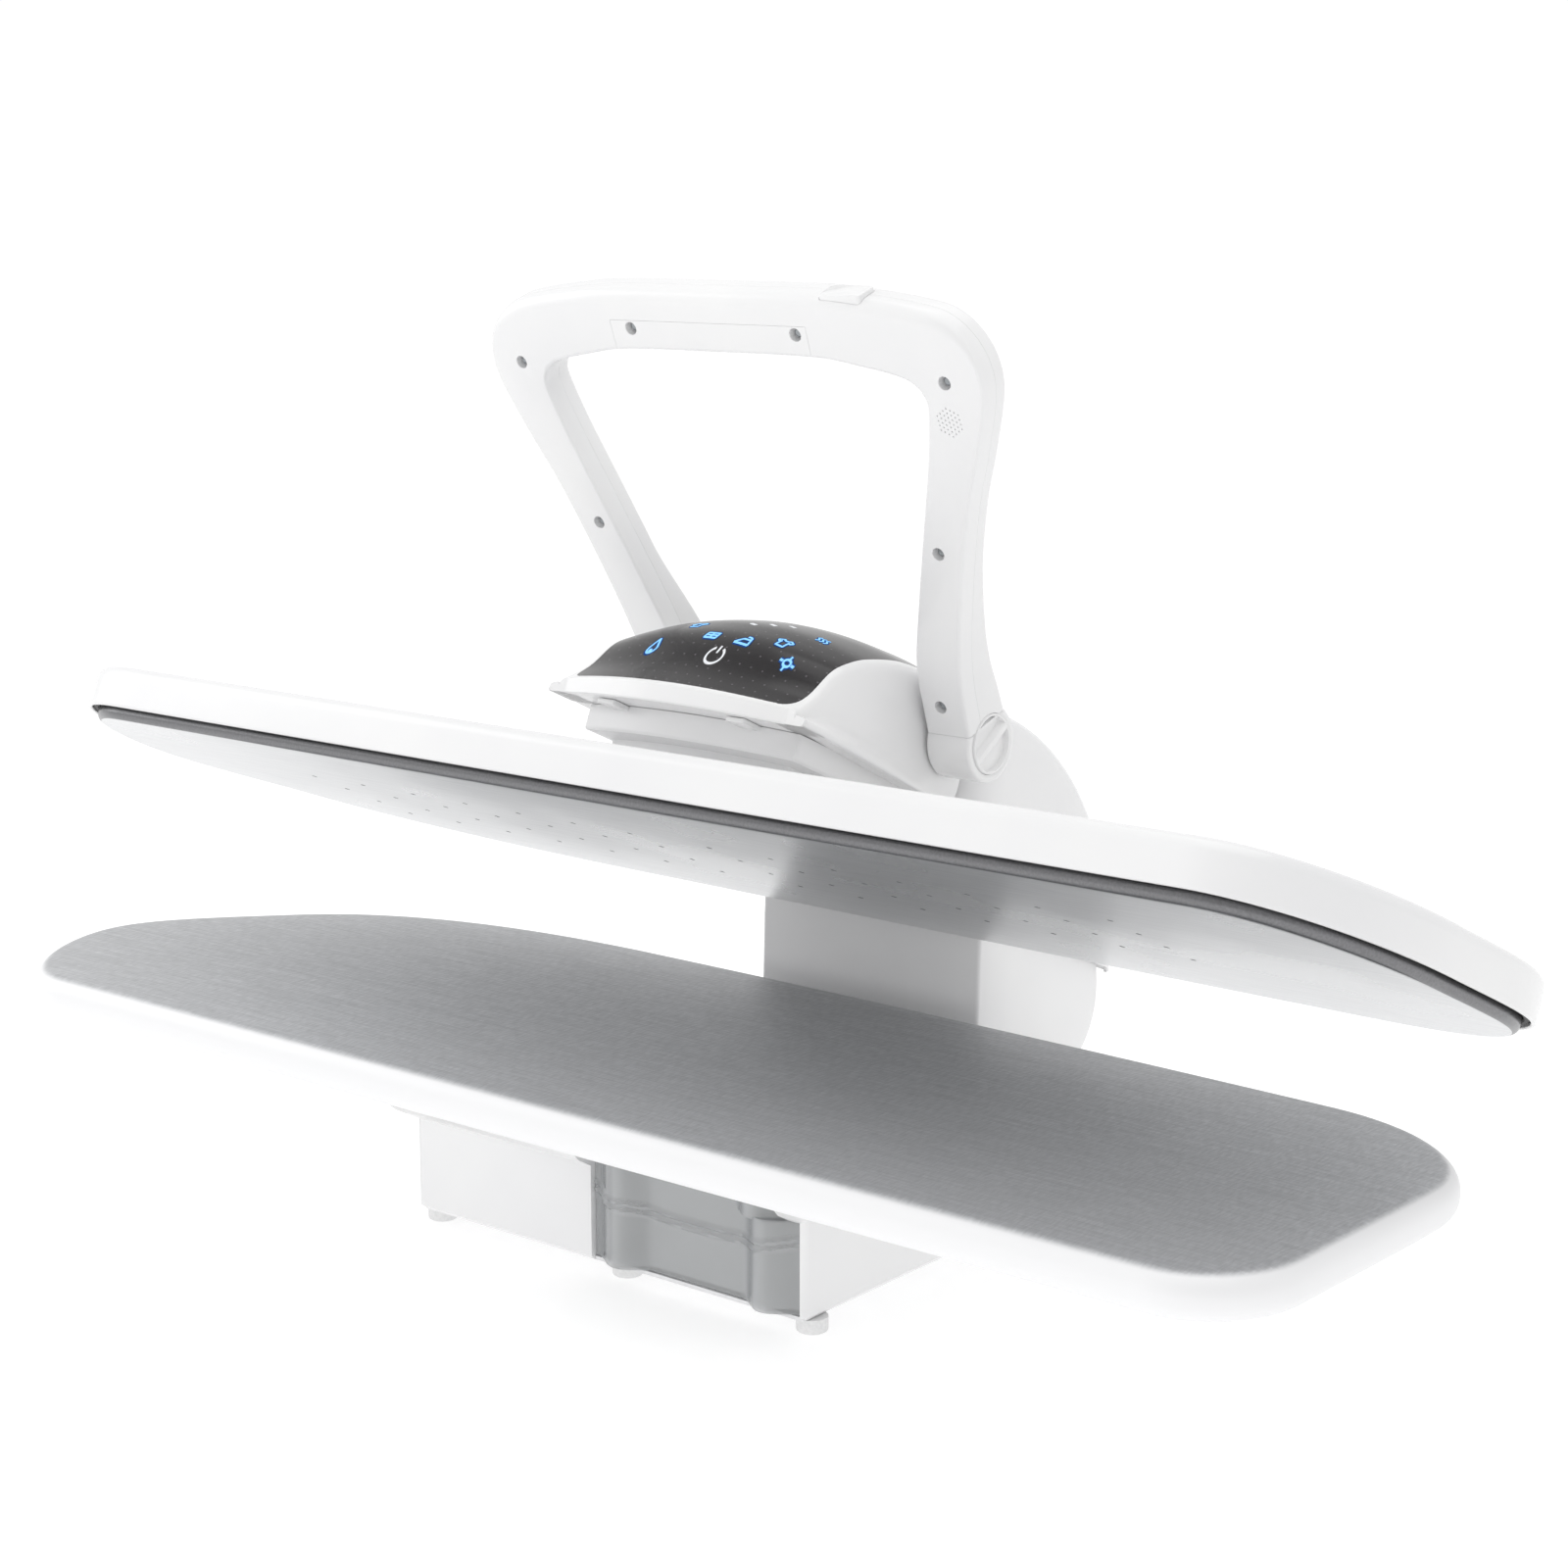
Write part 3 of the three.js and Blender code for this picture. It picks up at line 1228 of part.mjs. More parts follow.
function coverLine(u, w, outU, outW, skin) {
  const half = [[coverHalfWidth - skin, u, coverRimW - overrun * 2]];
  const turnIn = coverHalfWidth - hoodShoulder;
  half.push([coverHalfWidth - skin, u - outU * turnIn, w - outW * turnIn]);
  half.push([coverHalfWidth - skin - turnIn / 4, u - outU * turnIn / 3, w - outW * turnIn / 3]);
  for (const share of acrossShares) {
    const rise = hoodCrown * (1 - share * share);
    half.push([(hoodShoulder - skin) * share, u + outU * rise, w + outW * rise]);
  }
  const left = half.slice(0, -1).map(([x, a, b]) => [-x, a, b]);
  return [...left, ...half.slice().reverse()];
}

function coverSheet(skin) {
  const rows = [coverLine(hoodSeamU + seat / 2, hoodTopW - skin, 0, 1, skin)];
  for (let i = 0; i <= coverSteps; i += 1) {
    const turn = (Math.PI / 2) * (1 - (coverSweepShare * i) / coverSteps);
    const outU = Math.cos(turn);
    const outW = Math.sin(turn);
    const radius = coverArc - skin;
    rows.push(coverLine(coverArcU + radius * outU, coverArcW + radius * outW, outU, outW, skin));
  }
  return rows;
}

const coverStock = slab(coverSheet(0), flattened(coverSheet(0), coverRimW - overrun * 2));
const coverRoomSheet = coverSheet(coverWall);
coverRoomSheet.unshift(coverRoomSheet[0].map(([x, u, w]) => [x, u - overrun, w]));
const coverRoom = slab(coverRoomSheet, flattened(coverRoomSheet, coverRimW - overrun * 3));
const coverOverHead = box(-coverHalfWidth * 2, coverHalfWidth * 2, hoodSeamU - overrun,
  headFrontU + headDepth + coverWall, coverRimW - overrun * 4, flangeW);
const coverBelow = box(-coverHalfWidth * 2, coverHalfWidth * 2, hoodSeamU - overrun,
  coverArcU + coverArc * 2, coverRimW - overrun * 4, coverRimW);
const rearCover = coverStock
  .subtract(coverRoom)
  .subtract(coverOverHead)
  .subtract(coverBelow);
piece(head, 'rear_cover', rearCover, whiteAbs);

// Pins that carry the handle, each through one of the arm's ears
const pinEndX = knuckleOuterX - knobSink - seat;
const pinBody = rodX(pivotU, pivotW, pivotPinRadius, earOuterX - earPlate - seat, pinEndX)
  .add(rodX(pivotU, pivotW, pivotPinHead, earOuterX - earPlate - pivotPinHeadLength,
    earOuterX - earPlate - seat));
piece(head, 'handle_pin_right', pinBody, steel);
piece(head, 'handle_pin_left', mirrored(pinBody), steel);

// Handle: a bowed yoke of two screwed shells, split across its depth, on two knuckles.
// The shares are places on its outer and inner edges against its half width and its height.

const outerShares = [[0, 1], [0.41, 0.999], [0.6, 0.99], [0.8, 0.972], [0.89, 0.953], [0.957, 0.913],
  [0.994, 0.858], [0.99, 0.788], [0.918, 0.662], [0.857, 0.57], [0.807, 0.476], [0.749, 0.351],
  [0.704, 0.239], [0.683, 0.163], [0.676, 0.087], [0.674, 0], [0.672, -0.116]];
const innerShares = [[0, 0.873], [0.25, 0.873], [0.43, 0.869], [0.56, 0.856], [0.69, 0.84],
  [0.752, 0.822], [0.78, 0.795], [0.781, 0.764], [0.74, 0.662], [0.662, 0.506], [0.586, 0.352],
  [0.53, 0.232], [0.512, 0.164], [0.509, 0.111], [0.506, 0.044], [0.505, 0], [0.504, -0.116]];

function handleEdge(shares, samples) {
  const right = shares.map(([x, s]) => new THREE.Vector2(x * handleHalfWidth, s * handleHeight));
  const left = right.slice(1).reverse().map(({ x, y }) => new THREE.Vector2(-x, y));
  return new THREE.SplineCurve([...left, ...right]).getPoints(samples).map(({ x, y }) => [x, y]);
}

const handleLoop = [...handleEdge(innerShares, handleSamples), ...handleEdge(outerShares, handleSamples).reverse()];
const handleRearN = handleFrontN + handleDepth;

// The yoke's outline carried through its depth, with soft edges front and back
function yokeBlock(loop, low, high, bevel) {
  const shape = new THREE.Shape(loop.map(([x, s]) => new THREE.Vector2(x, s)));
  const geometry = new THREE.ExtrudeGeometry(shape, {
    depth: high - low - 2 * bevel,
    bevelEnabled: bevel > 0,
    bevelThickness: bevel,
    bevelSize: bevel,
    bevelOffset: -bevel,
    bevelSegments: 1,
  });
  geometry.translate(0, 0, -high + bevel);
  geometry.applyMatrix4(frontBasis);
  return solid(geometry);
}

// Side view of the legs' feet: they flare behind into the round knuckles
const flareShares = [[0.14, 0.8], [0.4, 0.54], [0.66, 0.33], [0.9, 0.15]];
const seamTurn = THREE.MathUtils.radToDeg(Math.asin(knuckleSeamS / knuckleRadius));
const knuckleRearN = Math.sqrt(knuckleRadius ** 2 - knuckleSeamS ** 2);
const footProfile = [
  [handleFrontN - overrun, flareTopS + overrun],
  [handleFrontN - overrun, 0],
  ...arcPoints(0, 0, knuckleRadius, 180, 360 + seamTurn, 16),
  ...flareShares.slice().reverse().map(([out, up]) => [
    handleRearN + (knuckleRearN - handleRearN) * out,
    knuckleSeamS + (flareTopS - knuckleSeamS) * up,
  ]),
  [handleRearN, flareTopS],
  [handleRearN, flareTopS + overrun],
];
const wide = handleHalfWidth * 2;
const tall = handleHeight * 2;
// Side view of the yoke's top: its front edge is drawn in to a large round for the palm
const gripProfile = [
  [handleFrontN - overrun, flareTopS],
  [handleRearN + overrun, flareTopS],
  [handleRearN + overrun, tall],
  [handleFrontN + gripRound, tall],
  ...arcPoints(handleFrontN + gripRound, handleHeight - gripRound, gripRound, 90, 180, 3),
  [handleFrontN - overrun, handleHeight - gripRound],
];
const upperBlock = yokeBlock(handleLoop, handleFrontN, handleRearN, handleBevel)
  .intersect(alongX(gripProfile, -wide, wide));
const footBlock = yokeBlock(handleLoop, handleFrontN, knuckleRadius + handleBevel, handleBevel)
  .intersect(alongX(footProfile, -wide, wide));
const yoke = upperBlock.add(footBlock.subtract(box(-wide, wide, -tall, tall, flareTopS, tall)));
const seamBottom = knuckleSeamS + seat / 2;
const aboveSeam = (low, high) => box(-wide, wide, low, high, seamBottom, tall);
const yokeRoom = yokeBlock(inset(handleLoop, handleWall), handleFrontN + handleWall,
  handleRearN - handleWall, 0).intersect(box(-wide, wide, -tall, tall, seamBottom + handleWall, tall));

const beeperShare = [0.872, 0.752];

// Screws hold the shells together: each sinks into a counterbored boss of the front shell
const screwShares = [[0.336, 0.919], [0.866, 0.832], [0.707, 0.465], [0.585, 0.113]];
const screwPlaces = screwShares.flatMap(([x, s]) => [-1, 1].map((side) => [
  side * x * handleHalfWidth, s * handleHeight,
]));
const screwRods = (radius, low, high) => joined(screwPlaces.map(([x, s]) => rodY(x, s, radius, low,
  high, smallSides)));
const bosses = screwRods(screwBoss, handleFrontN + handleWall / 2, handleRearN - handleWall / 2)
  .intersect(yoke);
const counterbores = screwRods(screwHead, handleFrontN - overrun, handleFrontN + screwSink)
  .add(screwRods(screwShank, handleFrontN, handleRearN - handleWall - screwShank));

// The steam button's well in the top of the yoke, and the grip insert's seat in its front
const wellTopS = handleHeight + overrun;
const buttonN = (handleFrontN + handleRearN) / 2 + buttonBack;
const buttonLoop = (grow) => roundedRect(buttonX - buttonHalf - grow, buttonX + buttonHalf + grow,
  buttonN - buttonDepth / 2 - grow, buttonN + buttonDepth / 2 + grow, buttonRound, 2);
const buttonSkinS = handleHeight - handleWall * 2;
const well = alongZ(buttonLoop(seat), buttonSkinS - handleWall, wellTopS);
const gripInsertTopS = handleHeight - gripInsertDrop;
const insertBox = (grow) => box(-gripInsertLeft - grow, gripInsertRight + grow, handleFrontN - overrun,
  handleFrontN + gripInsertDepth + grow, 0, gripInsertTopS + grow);
const knobRecess = rodX(0, 0, knobRadius + seat, knuckleOuterX - knobSink, handleHalfWidth, knobSides);
const hollowYoke = yoke
  .subtract(yokeRoom)
  .add(bosses)
  .subtract(counterbores)
  .subtract(well)
  .subtract(knobRecess)
  .subtract(mirrored(knobRecess));
const insertSeat = yoke.intersect(insertBox(seat));
const insertBacking = yoke.intersect(box(-gripInsertLeft - handleWall, gripInsertRight + handleWall,
  handleFrontN + gripInsertDepth, handleFrontN + gripInsertDepth + handleWall, 0,
  gripInsertTopS + handleWall)).subtract(counterbores);
const frontShell = hollowYoke
  .add(insertBacking)
  .subtract(insertSeat)
  .intersect(aboveSeam(-tall, handleSplitN - seat / 2));
piece(handle, 'handle_front_shell', frontShell, whiteAbs);
const rearShell = hollowYoke.intersect(aboveSeam(handleSplitN + seat / 2, tall));
piece(handle, 'handle_rear_shell', rearShell, whiteAbs);
const insert = yoke.intersect(insertBox(0)).subtract(counterbores);
piece(handle, 'grip_insert', insert, whiteAbs);

// Steam button: a cap on a stem that slides down into the yoke
const buttonTopS = handleHeight + buttonProud;
const button = alongZ(buttonLoop(0), buttonTopS - buttonCap, buttonTopS)
  .add(rodZ(buttonX, buttonN, buttonStem / 2, buttonTopS - buttonCap - buttonStem, buttonTopS - buttonCap / 2,
    smallSides));
piece(handle, 'steam_button', button, whiteAbs);

// Knuckles: the yoke's round feet, each bored for its pin and recessed for its lock knob
const belowSeam = box(0, wide, -tall, tall, -tall, knuckleSeamS - seat / 2);
const knuckle = yoke.intersect(belowSeam)
  .subtract(rodX(0, 0, pivotPinRadius + seat, 0, handleHalfWidth))
  .subtract(knobRecess);
piece(handle, 'knuckle_right', knuckle, whiteAbs);
piece(handle, 'knuckle_left', mirrored(knuckle), whiteAbs);

// Lock knobs: a disc with a ridge across it, left standing between two scoops
const knobFaceX = knuckleOuterX + knobProud;
const ridgeTurn = THREE.MathUtils.degToRad(knobRidgeAngle);
const ridgePoint = (along, across) => [
  along * Math.cos(ridgeTurn) - across * Math.sin(ridgeTurn),
  along * Math.sin(ridgeTurn) + across * Math.cos(ridgeTurn),
];
const scoop = (side) => loft([knobSink + knobFaceX, knobFaceX - knobProud].map((x, deep) => {
  const edge = knobRidge / 2 + knobRidgeDraft * (1 - deep);
  const spread = knobRadius - knobRim;
  return arcPoints(0, 0, spread, 12, 168, 8).map(([along, across]) => {
    const [n, s] = ridgePoint(along, side * Math.max(across, edge));
    return [x, n, s];
  });
}));
const knob = rodX(0, 0, knobRadius, knuckleOuterX - knobSink + seat, knobFaceX, knobSides)
  .subtract(scoop(1))
  .subtract(scoop(-1));
piece(handle, 'lock_knob_right', knob, whiteAbs);
piece(handle, 'lock_knob_left', mirrored(knob), whiteAbs);

// Beeper behind the sound holes of the right leg
const beeper = rodY(beeperShare[0] * handleHalfWidth, beeperShare[1] * handleHeight, beeperRadius,
  handleFrontN + handleWall + seat, handleFrontN + handleWall + seat + beeperDepth);
piece(handle, 'beeper', beeper, blackSeal);

// The origin is the middle of the press's box, on the table
press.updateMatrixWorld(true);
const outside = new THREE.Box3().setFromObject(press, true);
press.position.set(-(outside.min.x + outside.max.x) / 2, -(outside.min.y + outside.max.y) / 2, 0);

export default press;
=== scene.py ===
import json
import math

import bmesh
import bpy
import numpy as np
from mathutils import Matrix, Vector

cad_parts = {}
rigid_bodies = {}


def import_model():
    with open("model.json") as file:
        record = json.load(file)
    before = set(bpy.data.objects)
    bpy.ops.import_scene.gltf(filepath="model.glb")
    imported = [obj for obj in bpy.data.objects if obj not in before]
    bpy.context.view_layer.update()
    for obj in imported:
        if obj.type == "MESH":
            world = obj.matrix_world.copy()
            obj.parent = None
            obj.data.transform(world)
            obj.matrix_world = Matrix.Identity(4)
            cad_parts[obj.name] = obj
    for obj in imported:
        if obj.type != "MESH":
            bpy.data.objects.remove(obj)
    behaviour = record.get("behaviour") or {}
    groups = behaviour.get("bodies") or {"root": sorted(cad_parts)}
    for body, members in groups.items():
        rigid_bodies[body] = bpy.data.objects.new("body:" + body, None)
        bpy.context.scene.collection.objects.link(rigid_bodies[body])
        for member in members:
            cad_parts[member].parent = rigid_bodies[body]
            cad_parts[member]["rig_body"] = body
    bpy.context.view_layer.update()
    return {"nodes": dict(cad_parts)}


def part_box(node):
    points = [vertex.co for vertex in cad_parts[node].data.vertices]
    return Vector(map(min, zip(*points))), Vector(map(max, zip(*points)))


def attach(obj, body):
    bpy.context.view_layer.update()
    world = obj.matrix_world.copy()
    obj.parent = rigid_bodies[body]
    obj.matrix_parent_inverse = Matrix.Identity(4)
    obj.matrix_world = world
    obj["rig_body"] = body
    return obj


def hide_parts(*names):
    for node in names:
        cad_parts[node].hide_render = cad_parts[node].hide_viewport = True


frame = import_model()
nodes = frame["nodes"]
scene = bpy.context.scene

# Studio: a white room, darker behind the camera, with soft boxes overhead, at the left and in front.
# The camera stands to the right of the front, a little above the panel, with a portrait lens.
scene.view_settings.view_transform = "Standard"


def add(tree, kind, links=None, values=None, **settings):
    """One node, with its settings, the values of its sockets and the outputs that feed it."""
    made = tree.nodes.new(kind)
    for key, value in settings.items():
        setattr(made, key, value)
    for socket, value in (values or {}).items():
        made.inputs[socket].default_value = value
    for socket, source in (links or {}).items():
        tree.links.new(source, made.inputs[socket])
    return made


def linear(code):
    """sRGB hex to a linear colour."""
    channel = np.array([int(code[i:i + 2], 16) for i in (1, 3, 5)]) / 255
    value = np.where(channel <= 0.04045, channel / 12.92, ((channel + 0.055) / 1.055) ** 2.4)
    return (*(float(v) for v in value), 1.0)


def ramp(tree, factor, stops):
    """A colour ramp over a factor, from pairs of place and hex colour."""
    made = add(tree, "ShaderNodeValToRGB", {"Fac": factor})
    points = made.color_ramp.elements
    while len(points) < len(stops):
        points.new(0.5)
    for point, (place, code) in zip(points, stops):
        point.position = place
        point.color = linear(code)
    return made


def finish(name):
    """An empty node material with its output, and its object coordinates in metres."""
    material = bpy.data.materials.new(name)
    material.use_nodes = True
    tree = material.node_tree
    tree.nodes.clear()
    out = add(tree, "ShaderNodeOutputMaterial")
    place = add(tree, "ShaderNodeTexCoord").outputs["Object"]
    return material, tree, out, place


room = bpy.data.worlds.new("white_room")
room.use_nodes = True
room.node_tree.nodes.clear()
sky_way = add(room.node_tree, "ShaderNodeTexCoord").outputs["Generated"]
sky_turn = add(room.node_tree, "ShaderNodeMapping", {"Vector": sky_way},
               {"Rotation": (0, 0, math.radians(-39))})
sky_part = add(room.node_tree, "ShaderNodeSeparateXYZ", {"Vector": sky_turn.outputs["Vector"]})
sky_shade = add(room.node_tree, "ShaderNodeMapRange", {"Value": sky_part.outputs["Y"]},
                {"From Min": -0.9, "From Max": 0.1, "To Min": 0.66, "To Max": 0.9},
                interpolation_type="SMOOTHSTEP")
sky = add(room.node_tree, "ShaderNodeBackground", {"Strength": sky_shade.outputs["Result"]},
          {"Color": (1, 1, 1, 1)})
white_wall = add(room.node_tree, "ShaderNodeBackground", {}, {"Color": (1, 1, 1, 1), "Strength": 1.03})
seen = add(room.node_tree, "ShaderNodeLightPath").outputs["Is Camera Ray"]
room_shader = add(room.node_tree, "ShaderNodeMixShader",
                  {0: seen, 1: sky.outputs["Background"], 2: white_wall.outputs["Background"]})
add(room.node_tree, "ShaderNodeOutputWorld", {"Surface": room_shader.outputs["Shader"]})
scene.world = room


def soft_box(name, place, aim, size, power, mirrored=True):
    """An area light at a place, facing a point; it may be left out of what polished faces mirror."""
    data = bpy.data.lights.new(name, "AREA")
    data.shape = "RECTANGLE"
    data.size, data.size_y = size
    data.energy = power
    lamp = bpy.data.objects.new(name, data)
    lamp.location = place
    way = np.array(aim, float) - np.array(place, float)
    flat = math.hypot(way[0], way[1])
    lamp.rotation_euler = (math.atan2(flat, -way[2]), 0, math.atan2(way[1], way[0]) - math.pi / 2)
    lamp.visible_glossy = mirrored
    scene.collection.objects.link(lamp)


soft_box("box_overhead", (0.2, 0.2, 2.3), (0, 0.1, 0.2), (2.4, 1.6), 11)
soft_box("box_left", (-1.9, -0.7, 1.3), (0, 0, 0.25), (1.2, 1.6), 9)
soft_box("box_front", (0.35, -2.3, 0.42), (0, 0, 0.3), (2.4, 0.8), 5, mirrored=False)

lens = bpy.data.cameras.new("camera")
lens.lens = 68.13
lens.sensor_width = 36
camera = bpy.data.objects.new("camera", lens)
camera.location = (1.1604, -1.42269, 0.65)
camera.rotation_euler = (math.radians(78.6), 0, math.radians(39.1))
scene.collection.objects.link(camera)
scene.camera = camera

floor_material, tree, out, place = finish("white_paper_ground")
floor_grain = add(tree, "ShaderNodeTexNoise", {"Vector": place}, {"Scale": 60.0, "Detail": 3.0})
floor_tone = ramp(tree, floor_grain.outputs["Fac"], [(0.3, "#c6c6c6"), (0.7, "#cacaca")])
floor_paper = add(tree, "ShaderNodeBsdfDiffuse", {"Color": floor_tone.outputs["Color"]})
floor_lit = add(tree, "ShaderNodeEmission", {}, {"Color": (1, 1, 1, 1), "Strength": 0.56})
floor_shader = add(tree, "ShaderNodeAddShader",
                   {0: floor_paper.outputs["BSDF"], 1: floor_lit.outputs["Emission"]})
tree.links.new(floor_shader.outputs["Shader"], out.inputs["Surface"])
floor_mesh = bpy.data.meshes.new("ground")
floor_mesh.from_pydata([(-30, -30, 0), (30, -30, 0), (30, 30, 0), (-30, 30, 0)], [], [(0, 1, 2, 3)])
floor_mesh.materials.append(floor_material)
ground = bpy.data.objects.new("ground", floor_mesh)
scene.collection.objects.link(ground)

# Board cover and pad: silver metallised cloth drawn over felt and tied in below the board's edge.
# The cloth's rows follow the board's outline, inset by a round edge, and rise to a low crown.
shaft_low, shaft_high = (np.array(corner) * 1000 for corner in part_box("hinge_shaft"))
hinge_at = (shaft_low + shaft_high) / 2
hinge_y, open_degrees = 304.0, 24.5
base_at = np.array([hinge_at[0], hinge_at[1] - hinge_y, 0.0])


def frame_of(origin, degrees):
    """Sets places [x, a, b] in mm, turned about X by an angle at an origin, down in metres."""
    turn = math.radians(degrees)

    def set_down(places):
        """Turned about X, moved to the origin and scaled to metres."""
        x, a, b = np.moveaxis(np.asarray(places, float), -1, 0)
        return np.stack([origin[0] + x, origin[1] + a * math.cos(turn) - b * math.sin(turn),
                         origin[2] + a * math.sin(turn) + b * math.cos(turn)], -1) / 1000
    return set_down


in_base = frame_of(base_at, 0)
in_head = frame_of(hinge_at, -open_degrees)


def plan_outline(rows, length, depth, middle, front, count=420):
    """A closed outline of cubic curves given as shares of its length and depth, in even steps."""
    t = np.linspace(0, 1, 80)[1:, None]
    start = np.array([0.094, 0.0])
    parts = []
    for first, second, end in rows:
        first, second, end = np.array(first), np.array(second), np.array(end)
        parts.append((1 - t) ** 3 * start + 3 * (1 - t) ** 2 * t * first
                     + 3 * (1 - t) * t ** 2 * second + t ** 3 * end)
        start = end
    loop = np.vstack(parts) * [length, depth] + [middle - length / 2, front]
    return even(loop, count)


def even(loop, count):
    """A closed line of points laid again at even steps along itself."""
    closed = np.vstack([loop, loop[:1]])
    along = np.concatenate([[0], np.cumsum(np.hypot(*np.diff(closed, axis=0).T))])
    at = np.linspace(0, along[-1], count, endpoint=False)
    return np.stack([np.interp(at, along, closed[:, k]) for k in (0, 1)], 1)


def inset(loop, distance):
    """A closed anticlockwise line moved inwards by a distance along its normals."""
    way = np.roll(loop, -1, 0) - np.roll(loop, 1, 0)
    way /= np.linalg.norm(way, axis=1, keepdims=True)
    return loop + distance * np.stack([-way[:, 1], way[:, 0]], 1)


def arc(radius, start, end, steps, centre=(0, 0)):
    """Points of an arc between two angles in degrees."""
    turn = np.radians(np.linspace(start, end, steps + 1))
    return np.stack([centre[0] + radius * np.cos(turn), centre[1] + radius * np.sin(turn)], 1)


def level_rings(loop, table):
    """Rings of a plan outline, one for each (inset, height)."""
    return np.stack([np.column_stack([inset(loop, over), np.full(len(loop), height)])
                     for over, height in table])


def skin(name, grids, body, material, hides=(), sharp=35, weld=2e-6, modifiers=()):
    """One piece from grids of places in metres: each is (rows, columns, 3), whether its columns
    close on themselves, and whether its first and last rows are closed by a face."""
    places, faces, count = [], [], 0
    for grid, wrap, caps in grids:
        rows, columns = grid.shape[:2]
        index = count + np.arange(rows * columns).reshape(rows, columns)
        after = np.roll(index, -1, 1) if wrap else index[:, 1:]
        here = index if wrap else index[:, :-1]
        quads = np.stack([here[:-1], after[:-1], after[1:], here[1:]], -1).reshape(-1, 4)
        faces += quads.tolist()
        if caps[0]:
            faces.append(index[0, ::-1].tolist())
        if caps[1]:
            faces.append(index[-1].tolist())
        places.append(grid.reshape(-1, 3))
        count += rows * columns
    mesh = bpy.data.meshes.new(name)
    mesh.from_pydata(np.vstack(places), [], faces)
    return settle(name, mesh, body, material, hides, sharp, weld, modifiers)


def closed(set_down, grids):
    """Grids set down in metres, each closed round its columns and at both of its ends."""
    return [(set_down(grid), True, (True, True)) for grid in grids]


def settle(name, mesh, body, material, hides=(), sharp=35, weld=2e-6, modifiers=()):
    """Merges a mesh's doubles, turns its faces out, marks its edges and makes it a piece."""
    shape = bmesh.new()
    shape.from_mesh(mesh)
    bmesh.ops.remove_doubles(shape, verts=shape.verts, dist=weld)
    bmesh.ops.dissolve_degenerate(shape, edges=shape.edges, dist=weld / 2)
    bmesh.ops.recalc_face_normals(shape, faces=shape.faces)
    shape.to_mesh(mesh)
    shape.free()
    mesh.shade_smooth()
    mesh.set_sharp_from_angle(angle=math.radians(sharp))
    mesh.materials.clear()
    mesh.materials.append(material)
    piece = bpy.data.objects.new(name, mesh)
    scene.collection.objects.link(piece)
    for kind, settings in modifiers:
        modifier = piece.modifiers.new(kind.lower(), kind)
        for key, value in settings.items():
            setattr(modifier, key, value)
    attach(piece, body)
    if hides:
        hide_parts(*hides)
    return piece


board_rows = [
    [[0.38, 0], [0.66, 0], [0.941, 0]], [[0.972, 0], [0.996, 0.1], [0.997, 0.19]],
    [[0.998, 0.34], [1, 0.49], [1, 0.64]], [[1, 0.78], [0.955, 0.945], [0.88, 0.953]],
    [[0.75, 0.975], [0.55, 1], [0.35, 1]], [[0.2, 1], [0.117, 0.891], [0.072, 0.728]],
    [[0.016, 0.54], [0, 0.46], [0, 0.362]], [[0, 0.22], [0.045, 0], [0.094, 0]],
]
board_length, board_depth, board_middle_x, board_front = 997, 312, 2, -107
board_loop = plan_outline(board_rows, board_length, board_depth, board_middle_x, board_front)
board_middle = (board_loop.min(0) + board_loop.max(0)) / 2
board_low, board_high, board_edge, board_crown, hem = 111.0, 137.0, 12.0, 3.5, 34.0
cover_table = [(hem, board_low + 3), (hem, board_low + 0.6), (hem - 1, board_low), (24, board_low)]
cover_table += [tuple(p) for p in arc(board_edge, -90, -180, 7, (board_edge, board_low + board_edge))]
cover_table += [tuple(p) for p in arc(board_edge, 180, 90, 9, (board_edge, board_high - board_edge))]
cover_sides = level_rings(board_loop, cover_table)
reach = np.linspace(0, 1, 26)[1:-1] ** 0.9
flat_ring = cover_sides[-1]
crown_rings = np.stack([flat_ring * (1 - s) + np.array([*board_middle, board_high]) * s
                        + [0, 0, board_crown * (1 - (1 - s) ** 2.4)] for s in reach])
# a pad's surface is never dead flat: two long low swells, strongest away from the edge
swell = 0.35 * np.sin(crown_rings[..., 0] / 61 + 0.7) * np.cos(crown_rings[..., 1] / 47)
crown_rings[..., 2] += swell * np.minimum(1, reach * 4)[:, None]
crown_top = np.broadcast_to([*board_middle, board_high + board_crown], (1, len(board_loop), 3))
cover_grid = np.concatenate([cover_sides, crown_rings, crown_top])

# Metallised cotton: a fine plain weave in rolled aluminium film, so it shines softly along the weft.
# Where it turns down round the board's edge, its colour is painted nearly white and made less metallic: a
# painted reflection of the white room.
cloth, tree, out, place = finish("metallised_cotton")
weft = add(tree, "ShaderNodeMapping", {"Vector": place}, {"Scale": (22, 520, 520)})
streak = add(tree, "ShaderNodeTexNoise", {"Vector": weft.outputs["Vector"]},
             {"Scale": 1.0, "Detail": 5.0, "Roughness": 0.62})
warp = add(tree, "ShaderNodeMapping", {"Vector": place}, {"Scale": (700, 130, 130)})
thread = add(tree, "ShaderNodeTexNoise", {"Vector": warp.outputs["Vector"]}, {"Scale": 1.0, "Detail": 2.0})
weave = add(tree, "ShaderNodeMath", {0: streak.outputs["Fac"], 1: thread.outputs["Fac"]},
            operation="MULTIPLY")
tone = ramp(tree, weave.outputs["Value"], [(0.12, "#bbbcbe"), (0.42, "#d3d4d6")])
height = add(tree, "ShaderNodeSeparateXYZ", {"Vector": place})
# a band on the board's rounded edge, just under the crown: painted near white as a reflection
painted_edge_band = add(tree, "ShaderNodeMapRange", {"Value": height.outputs["Z"]},
             {"From Min": 0.1368, "From Max": 0.1345, "To Min": 0.0, "To Max": 1.0},
             interpolation_type="SMOOTHSTEP")
painted_edge_reflection = add(tree, "ShaderNodeMix", {"Factor": painted_edge_band.outputs["Result"]}, data_type="RGBA")
